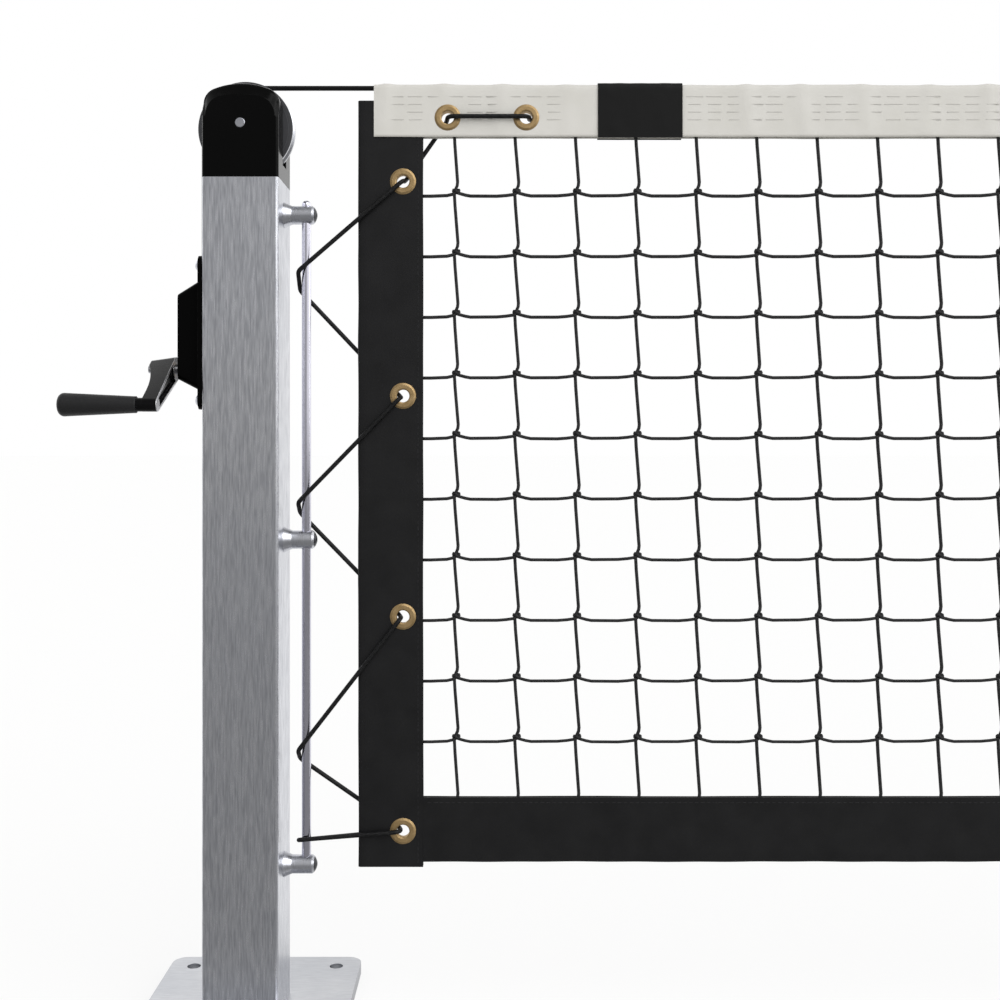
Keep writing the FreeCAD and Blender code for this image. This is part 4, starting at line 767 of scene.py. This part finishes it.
def makeHeadband(sizes):
    dice = random.Random(11)
    stray, lean, fade = sizes["creaseStray"], sizes["lean"], sizes["fade"]
    creases = []
    for i in range(-1, netSizes["columns"] + 1):
        middle = firstColumn + columnPitch * i - sizes["creaseBefore"] + dice.uniform(-stray, stray)
        peak = sizes["crease"] * dice.uniform(sizes["creaseLeast"], 1.0)
        creases.append((middle, peak, dice.uniform(-lean, lean)))
    grommets = [x for g in sizes["grommets"] for x in (g, spanLength - g)]
    patchStart, patchEnd = patchSizes["start"], patchSizes["end"]

    def relief(run, point, reach):
        # Soft upright creases near each column of knots, none under the grommets and the patch.
        fromPatch = max(patchStart - sizes["patchMargin"] - run, run - patchEnd - sizes["patchMargin"], 0.0)
        calm = min(soft(run - sizes["start"], fade), soft(sizes["end"] - run, fade),
                   soft(fromPatch, sizes["patchFade"]))
        for x in grommets:
            fromFlange = math.hypot(run - x, point.y - sizes["grommetZ"]) - sizes["flange"]
            calm = min(calm, soft(max(0.0, fromFlange), fade))
        index = int((run - firstColumn + sizes["creaseBefore"]) / columnPitch + 1.5)
        height = ruffle(sizes["dimpleScale"], run, point.y, point.x) * sizes["dimple"]
        for middle, peak, slant in creases[max(0, index - 1):index + 2]:
            away = (run - middle - slant * (point.y - sizes["leanFrom"])) / sizes["creaseWidth"]
            height += peak * math.exp(-away * away)
        return height * calm * soft(point.y - sizes["low"] + sizes["hem"], sizes["hemFade"])

    def place(run, p, q):
        # The fold lies slack on the cable and the hem waves a little.
        up = q - sizes["middle"]
        if up > 0:
            lift = ruffle(sizes["liftScale"], run, 1, 1) * sizes["ripple"] * soft(up, sizes["liftFade"])
            return Vector((run, p, q + (lift - sizes["slack"])))
        sink = ruffle(sizes["sinkScale"], run, 1, 1) * sizes["ripple"] * sizes["sinkShare"]
        return Vector((run, p, q + sink * soft(up, sizes["sinkFade"])))

    band = foldedShell("headbandVinyl", sizes, place, relief, "whiteVinyl")
    punchHoles(band, [Vector((x, 0, sizes["grommetZ"])) for x in grommets], sizes["hole"])
    return dress(band, "white_vinyl", "headband")


patchSizes = {
    "start": 0.3432, "end": 0.4257, "step": 0.0035, "low": 0.8615, "high": 0.9156, "half": 0.0055,
    "wall": 0.0009, "profileStep": 0.0035, "crownSteps": 10, "dent": 0.0004, "dentScale": (70, 60, 4.2)}


def makePatch(sizes):
    def relief(run, point, reach):
        return abs(ruffle(sizes["dentScale"], run, reach, 1)) * sizes["dent"]

    def place(run, p, q):
        return Vector((run, p, q))

    patch = foldedShell("headbandPatch", sizes, place, relief, "patchCloth")
    return dress(patch, "patch_cloth", "headband_patch")


tapeSizes = {
    "start": 0.1492, "end": 0.8981, "step": 0.006, "low": 0.1089, "high": 0.1724, "half": 0.0027,
    "wall": 0.0012, "profileStep": 0.006, "crownSteps": 8, "inset": 0.0439,
    "grommetZ": (0.8191, 0.6095, 0.3938, 0.1843), "hole": 0.0071, "flange": 0.014, "fade": 0.03,
    "pucker": 0.0005, "puckerLeast": 0.4, "puckerScale": (25, 30, 200), "sway": 0.0005,
    "swayScale": (12, 5.5, 2.0)}


def makeSideTape(name, node, sizes, mirrored):
    # Its run goes up, and its profile from the open edge out to the fold.
    def across(x):
        return spanLength - x if mirrored else x

    def relief(run, point, reach):
        # Drawn flat at each grommet, a little full between them.
        nearest = min(abs(run - z) for z in sizes["grommetZ"])
        fullness = soft(max(0.0, nearest - sizes["flange"]), sizes["fade"])
        least = sizes["puckerLeast"]
        folds = least + (1 - least) * ruffle(sizes["puckerScale"], run, point.y, point.x)
        return folds * sizes["pucker"] * fullness

    def place(run, p, q):
        x = sizes["high"] + sizes["low"] - q + ruffle(sizes["swayScale"], run, 1, 1) * sizes["sway"]
        return Vector((across(x), p, run))

    tape = foldedShell(name, sizes, place, relief, "blackVinyl")
    x = across(sizes["low"] + sizes["inset"])
    punchHoles(tape, [Vector((x, 0, z)) for z in sizes["grommetZ"]], sizes["hole"])
    return dress(tape, "black_vinyl", node)


bottomSizes = {
    "start": 0.1727, "end": spanLength - 0.1727, "step": 0.01, "low": 0.1536, "high": 0.2171,
    "half": 0.0027, "wall": 0.0012, "profileStep": 0.008, "crownSteps": 8, "pucker": 0.0005,
    "puckerScale": (20, 25, 200), "sway": 0.0006, "swayScale": (8, 1.5, 6.0)}


def makeBottomTape(sizes):
    def relief(run, point, reach):
        near = soft((run - firstColumn) % columnPitch - columnPitch / 2, columnPitch / 2)
        folds = 1 - near + ruffle(sizes["puckerScale"], run, point.y, point.x)
        return folds * 0.5 * sizes["pucker"]

    def place(run, p, q):
        # Folded at the bottom, open at the top.
        z = sizes["low"] + sizes["high"] - q + ruffle(sizes["swayScale"], run, 1, 1) * sizes["sway"]
        return Vector((run, p, z))

    tape = foldedShell("bottomTape", sizes, place, relief, "blackVinyl")
    return dress(tape, "black_vinyl", "bottom_tape")


headband = makeHeadband(bandSizes)
patch = makePatch(patchSizes)
leftTape = makeSideTape("sideTapeLeft", "side_tape_left", tapeSizes, False)
rightTape = makeSideTape("sideTapeRight", "side_tape_right", tapeSizes, True)
bottomTape = makeBottomTape(bottomSizes)
print("tapes and headband folded")


# Stitches, in metres

def stitchTree():
    # Rows of thread dropped onto a cloth along the ray, kept clear of the guard's points.
    tree, given, made = rowTree("stitchRows", {"Cloth": "Object", "Ray": (0, 1, 0), "Guard": "Object",
                                               "Clear": 0.015, "Hidden": 0.2, "Along": (1, 0, 0)})
    points = repeatPoints(tree, given)
    here = addNode(tree, "GeometryNodeInputPosition")[0]
    hit = addNode(tree, "GeometryNodeRaycast",
                  {"Target Geometry": objectShape(tree, given["Cloth"]), "Source Position": here,
                   "Ray Direction": given["Ray"], "Ray Length": 0.1})
    landed = addNode(tree, "GeometryNodeSetPosition", {"Geometry": points, "Position": hit["Hit Position"]})
    near = addNode(tree, "GeometryNodeProximity", {0: objectShape(tree, given["Guard"])},
                   target_element="POINTS")["Distance"]
    hidden = addNode(tree, "FunctionNodeRandomValue", {6: given["Hidden"], 8: given["Seed"]},
                     data_type="BOOLEAN")[3]
    drop = mathNode(tree, "MAXIMUM", mathNode(tree, "LESS_THAN", near, given["Clear"]), hidden)
    kept = addNode(tree, "GeometryNodeDeleteGeometry", {"Geometry": landed[0], "Selection": drop},
                   domain="POINT")[0]
    turn = addNode(tree, "FunctionNodeAlignRotationToVector", {"Vector": given["Along"]}, axis="X")[0]
    length = addNode(tree, "FunctionNodeRandomValue", {2: 0.7, 3: 1.1, 8: given["Seed"]},
                     data_type="FLOAT")[1]
    stretch = addNode(tree, "ShaderNodeCombineXYZ", {0: length, 1: 1.0, 2: 1.0})[0]
    return placeParts(tree, given, made, kept, turn, vectorNode(tree, "MULTIPLY", stretch, given["Size"]))


stitchSizes = {
    "thread": 0.00034, "sides": 5, "shape": (-1.0, -0.8, 0.0, 0.8, 1.0), "face": 0.03, "length": 0.016,
    "gap": 0.0034, "rows": 4, "topRow": 0.9015, "rowPitch": 0.0075, "clear": 0.018, "hidden": 0.2,
    "fromStart": 0.021, "beforePatch": 0.008, "afterPatch": 0.012, "beforeEnd": 0.012,
    "tapeLength": 0.0042, "tapeGap": 0.0016, "tapeClear": 0.01, "tapeEdge": 0.005, "tapeFrom": 0.006,
    "tapeSpare": 0.01}


def makeStitches(sizes):
    tree = stitchTree()
    band, side, bottom = bandSizes, tapeSizes, bottomSizes

    def stitch(name, length, finish):
        path = [Vector((length / 2 * share, 0, 0)) for share in sizes["shape"]]
        return tubeAlong(name, path, sizes["thread"], sizes["sides"], finish)

    def guardPoints(places, half):
        return meshObject("guard", [(x, y, z) for x, z in places for y in (-half, half)])

    white = stitch("whiteStitch", sizes["length"], "whiteThread")
    black = stitch("blackStitch", sizes["tapeLength"], "blackThread")
    pitch, tapePitch = sizes["length"] + sizes["gap"], sizes["tapeLength"] + sizes["tapeGap"]
    edgeX = side["low"] + side["inset"]
    bandGuard = guardPoints([(x, band["grommetZ"]) for g in band["grommets"] for x in (g, spanLength - g)],
                            band["half"])
    sideGuard = guardPoints([(x, z) for x in (edgeX, spanLength - edgeX) for z in side["grommetZ"]],
                            side["half"])
    bandRuns, tapeRuns = [], []
    for face, ray in ((-sizes["face"], (0, 1, 0)), (sizes["face"], (0, -1, 0))):
        bandSewn = {"Part": white, "Cloth": headband, "Guard": bandGuard, "Clear": sizes["clear"],
                    "Ray": ray, "Hidden": sizes["hidden"], "Rows": sizes["rows"],
                    "Column Step": (pitch, 0, 0), "Row Step": (0, 0, -sizes["rowPitch"]),
                    "Finish": finishes["whiteThread"]}
        tapeSewn = {"Part": black, "Guard": sideGuard, "Clear": sizes["tapeClear"], "Ray": ray,
                    "Hidden": 0.0, "Rows": 1, "Finish": finishes["blackThread"]}
        for start, end in ((band["start"] + sizes["fromStart"], patchSizes["start"] - sizes["beforePatch"]),
                           (patchSizes["end"] + sizes["afterPatch"], band["end"] - sizes["beforeEnd"])):
            bandRuns.append(grow("bandRun", tree, bandSewn | {
                "Columns": int((end - start) / pitch), "Start": (start, face, sizes["topRow"]),
                "Seed": len(bandRuns) + 20}))
        sideRun = side["end"] - side["start"] - sizes["tapeSpare"]
        for x, cloth in ((side["high"] - sizes["tapeEdge"], leftTape),
                         (spanLength - side["high"] + sizes["tapeEdge"], rightTape)):
            tapeRuns.append(grow("tapeRun", tree, tapeSewn | {
                "Cloth": cloth, "Columns": int(sideRun / tapePitch), "Column Step": (0, 0, tapePitch),
                "Start": (x, face, side["start"] + sizes["tapeFrom"]), "Along": (0, 0, 1),
                "Seed": len(tapeRuns) + 40}))
        bottomRun = spanLength - 2 * bottom["start"] - sizes["tapeSpare"]
        tapeRuns.append(grow("tapeRun", tree, tapeSewn | {
            "Cloth": bottomTape, "Columns": int(bottomRun / tapePitch), "Column Step": (tapePitch, 0, 0),
            "Start": (bottom["start"] + sizes["tapeFrom"], face, bottom["high"] - sizes["tapeEdge"]),
            "Seed": len(tapeRuns) + 40}))
    for spare in (white, black, bandGuard, sideGuard):
        bpy.data.objects.remove(spare)
    bandRows = dress(joined("headbandStitches", bandRuns), "white_vinyl")
    tapeRows = dress(joined("tapeStitches", tapeRuns), "black_vinyl")
    return bandRows, tapeRows


bandRows, tapeRows = makeStitches(stitchSizes)
print("stitches sewn")


# Lacing cords and their knots, in millimetres

lacingSizes = {
    "radius": 2.2, "sides": 12, "step": 1.2, "bend": 5.9, "turnX": 50.9, "near": 7.0, "bandY": 7.9,
    "tapeY": 6.3, "start": (285.2, 9.2, 881.6), "second": (276.2, 881.6), "firstFront": (197.0, 881.6),
    "firstBack": (194.9, 879.2), "side": ((153.6, 819.9), (150.6, 608.1), (150.6, 392.4), (150.2, 184.5)),
    "turnFront": (730.9, 505.6, 263.8, 176.8), "turnBack": (713.4, 494.8, 253.0, 172.6),
    "tied": ((118.0, 7.2, 179.0), (127.9, 8.2, 185.7)), "knot": 1.3, "knotPoints": 48, "knotRise": 1.5,
    "knotAhead": 4.9, "tail": 11.0, "tailSteps": 6, "tailDroop": 0.12, "tailTaper": 0.96}


def lacingRoute(sizes):
    # From behind the headband through its two grommets, then between the side tape and the rod.
    def through(hole, y):
        return (hole[0], y, hole[1])

    bandY, tapeY, near = sizes["bandY"], sizes["tapeY"], sizes["near"]
    points = [sizes["start"], through(sizes["second"], bandY), through(sizes["second"], -bandY),
              through(sizes["firstFront"], -bandY), through(sizes["firstBack"], bandY)]
    for hole, front, back in zip(sizes["side"], sizes["turnFront"], sizes["turnBack"]):
        points += [through(hole, tapeY), through(hole, -tapeY), (sizes["turnX"], -near, front),
                   (sizes["turnX"], near, back)]
    return [metres(*p) for p in (*points, *sizes["tied"])]


def bendRadii(points, radius):
    # The wanted radius, or less where two corners share a short run.
    radii = []
    for back, corner, on in zip(points, points[1:], points[2:]):
        opening = (back - corner).angle(on - corner)
        room = 0.47 * min((back - corner).length, (on - corner).length) * math.tan(opening / 2)
        radii.append(min(room, radius * 0.001))
    return radii


def overhandKnot(name, centre, outward, sizes):
    # Three lobes of the cord drawn tight and flat to the cloth, with a short sealed tail.
    flat = Matrix.Rotation(math.pi / 2, 3, "X")
    path = []
    for i in range(sizes["knotPoints"] + 1):
        a = 2 * math.pi * i / sizes["knotPoints"]
        lobe = Vector((math.sin(a) + 2 * math.sin(2 * a), math.cos(a) - 2 * math.cos(2 * a),
                       -sizes["knotRise"] * math.sin(3 * a)))
        path.append(centre + flat @ (lobe * sizes["knot"] * 0.001))
    count = sizes["tailSteps"]
    reach, droop = sizes["tail"] * 0.001, sizes["tailDroop"]
    tail = [centre + outward * (reach * i / count) + metres(0, 0, -droop * i * i) for i in range(count + 1)]
    radius, sides = sizes["radius"] * 0.001, sizes["sides"]
    knot = tubeAlong(name + "Knot", path, radius, sides, "lacingBraid")
    return [knot, tubeAlong(name + "Tail", tail, radius * sizes["tailTaper"], sides, "lacingBraid")]


def makeLacing(side, sizes, mirrored):
    points = lacingRoute(sizes)
    if mirrored:
        points = [Vector((spanLength - p.x, p.y, p.z)) for p in points]
    path = roundedPath(points, bendRadii(points, sizes["bend"]), sizes["step"] * 0.001)
    cord = tubeAlong("lacing" + side, path, sizes["radius"] * 0.001, sizes["sides"], "lacingBraid")
    dress(cord, "lacing", "lacing_cord_" + side.lower())
    ends = []
    for name, end, before in (("start", points[0], points[1]), ("end", points[-1], points[-2])):
        outward = (end - before).normalized()
        ends += overhandKnot(name, end + outward * (sizes["knotAhead"] * 0.001), outward, sizes)
    dress(joined("lacingKnots" + side, ends), "lacing", "lacing_knots_" + side.lower())


makeLacing("Left", lacingSizes, False)
makeLacing("Right", lacingSizes, True)
print("lacing tied")


# Floor, lamps, world and camera

floorSizes = {
    "reach": 60.0, "colour": (0.8, 0.8, 0.79, 1), "roughness": 0.9, "shown": 0.82,
    "front": (-0.2, 0.3, 0.28, 1.0)}


def viewRays(tree):
    # Whether a ray comes from the camera, and whether it mirrors or passes through.
    rays = addNode(tree, "ShaderNodeLightPath")
    shining = mathNode(tree, "MAXIMUM", rays["Is Glossy Ray"], rays["Is Transmission Ray"])
    return rays["Is Camera Ray"], shining


def makeFloor(sizes):
    # White where the camera sees it or where it shines, darker in front of the net.
    reach = sizes["reach"]
    corners = [(-reach, -reach, 0), (reach, -reach, 0), (reach, reach, 0), (-reach, reach, 0)]
    floor = meshObject("floor", corners, [(0, 1, 2, 3)])
    material, tree = newMaterial("paleFloor")
    matt = addNode(tree, "ShaderNodeBsdfPrincipled",
                   {"Base Color": sizes["colour"], "Roughness": sizes["roughness"]})[0]
    direct, shining = viewRays(tree)
    front = spread(tree, axes(tree, objectPlace(tree))[1], *sizes["front"])
    level = mathNode(tree, "MAXIMUM", direct, front)
    glow = addNode(tree, "ShaderNodeEmission", {"Color": (1, 1, 1, 1), "Strength": level})[0]
    shown = mathNode(tree, "ADD", product(tree, direct, sizes["shown"]), shining, clamp=True)
    mix = addNode(tree, "ShaderNodeMixShader", {0: shown, 1: matt, 2: glow})[0]
    addNode(tree, "ShaderNodeOutputMaterial", {"Surface": mix})
    floor.data.materials.append(material)


lamps = {"key": {"towards": (0.5, -0.62, 0.6), "strength": 1.5, "angle": 50},
         "side": {"towards": (0.9, 0.1, 0.42), "strength": 0.8, "angle": 60},
         "fill": {"towards": (-0.6, 0.5, 0.62), "strength": 0.5, "angle": 70}}


def makeLamps(lamps):
    for name, lamp in lamps.items():
        light = bpy.data.lights.new(name, "SUN")
        light.energy = lamp["strength"]
        light.angle = math.radians(lamp["angle"])
        newObject(name, light).rotation_euler = Vector(lamp["towards"]).to_track_quat("Z", "Y").to_euler()


# Each four numbers: from, to, and what they give.
worldLooks = {
    "skew": 0.7, "left": (-0.94, -0.45, 0.46, 1.0), "overhead": (0.45, 0.9, 1.0, 0.35),
    "ambient": (-0.5, 1.0, 0.5, 0.75)}


def makeWorld(looks):
    # White to the camera and behind the net, darker overhead and from the viewer's left for what shines.
    world = bpy.data.worlds.new("studio")
    world.use_nodes = True
    scene.world = world
    tree = world.node_tree
    tree.nodes.clear()
    way = axes(tree, addNode(tree, "ShaderNodeTexCoord")["Generated"])
    direct, shining = viewRays(tree)
    across = mathNode(tree, "ADD", way[1], product(tree, way[0], looks["skew"]))
    room = product(tree, spread(tree, across, *looks["left"]), spread(tree, way[2], *looks["overhead"]))
    feeds = {0: mathNode(tree, "MAXIMUM", direct, shining), 2: spread(tree, way[2], *looks["ambient"]),
             3: mathNode(tree, "MAXIMUM", direct, room)}
    level = addNode(tree, "ShaderNodeMix", feeds, data_type="FLOAT")[0]
    back = addNode(tree, "ShaderNodeBackground", {"Color": (1, 1, 1, 1), "Strength": level})[0]
    addNode(tree, "ShaderNodeOutputWorld", {"Surface": back})


cameraSizes = {
    "lens": 47.808, "sensor": 36.0, "shift": -0.0565, "near": 0.05, "far": 200.0,
    "place": (247.6, -1300.5, 563.0)}


def makeCamera(sizes):
    data = bpy.data.cameras.new("camera")
    data.lens, data.sensor_width, data.shift_y = sizes["lens"], sizes["sensor"], sizes["shift"]
    data.clip_start, data.clip_end = sizes["near"], sizes["far"]
    camera = newObject("camera", data)
    camera.location = metres(*sizes["place"])
    camera.rotation_euler = (math.pi / 2, 0, 0)
    scene.camera = camera


makeFloor(floorSizes)
makeLamps(lamps)
makeWorld(worldLooks)
makeCamera(cameraSizes)
scene.view_settings.view_transform = "Standard"
print("stage set")
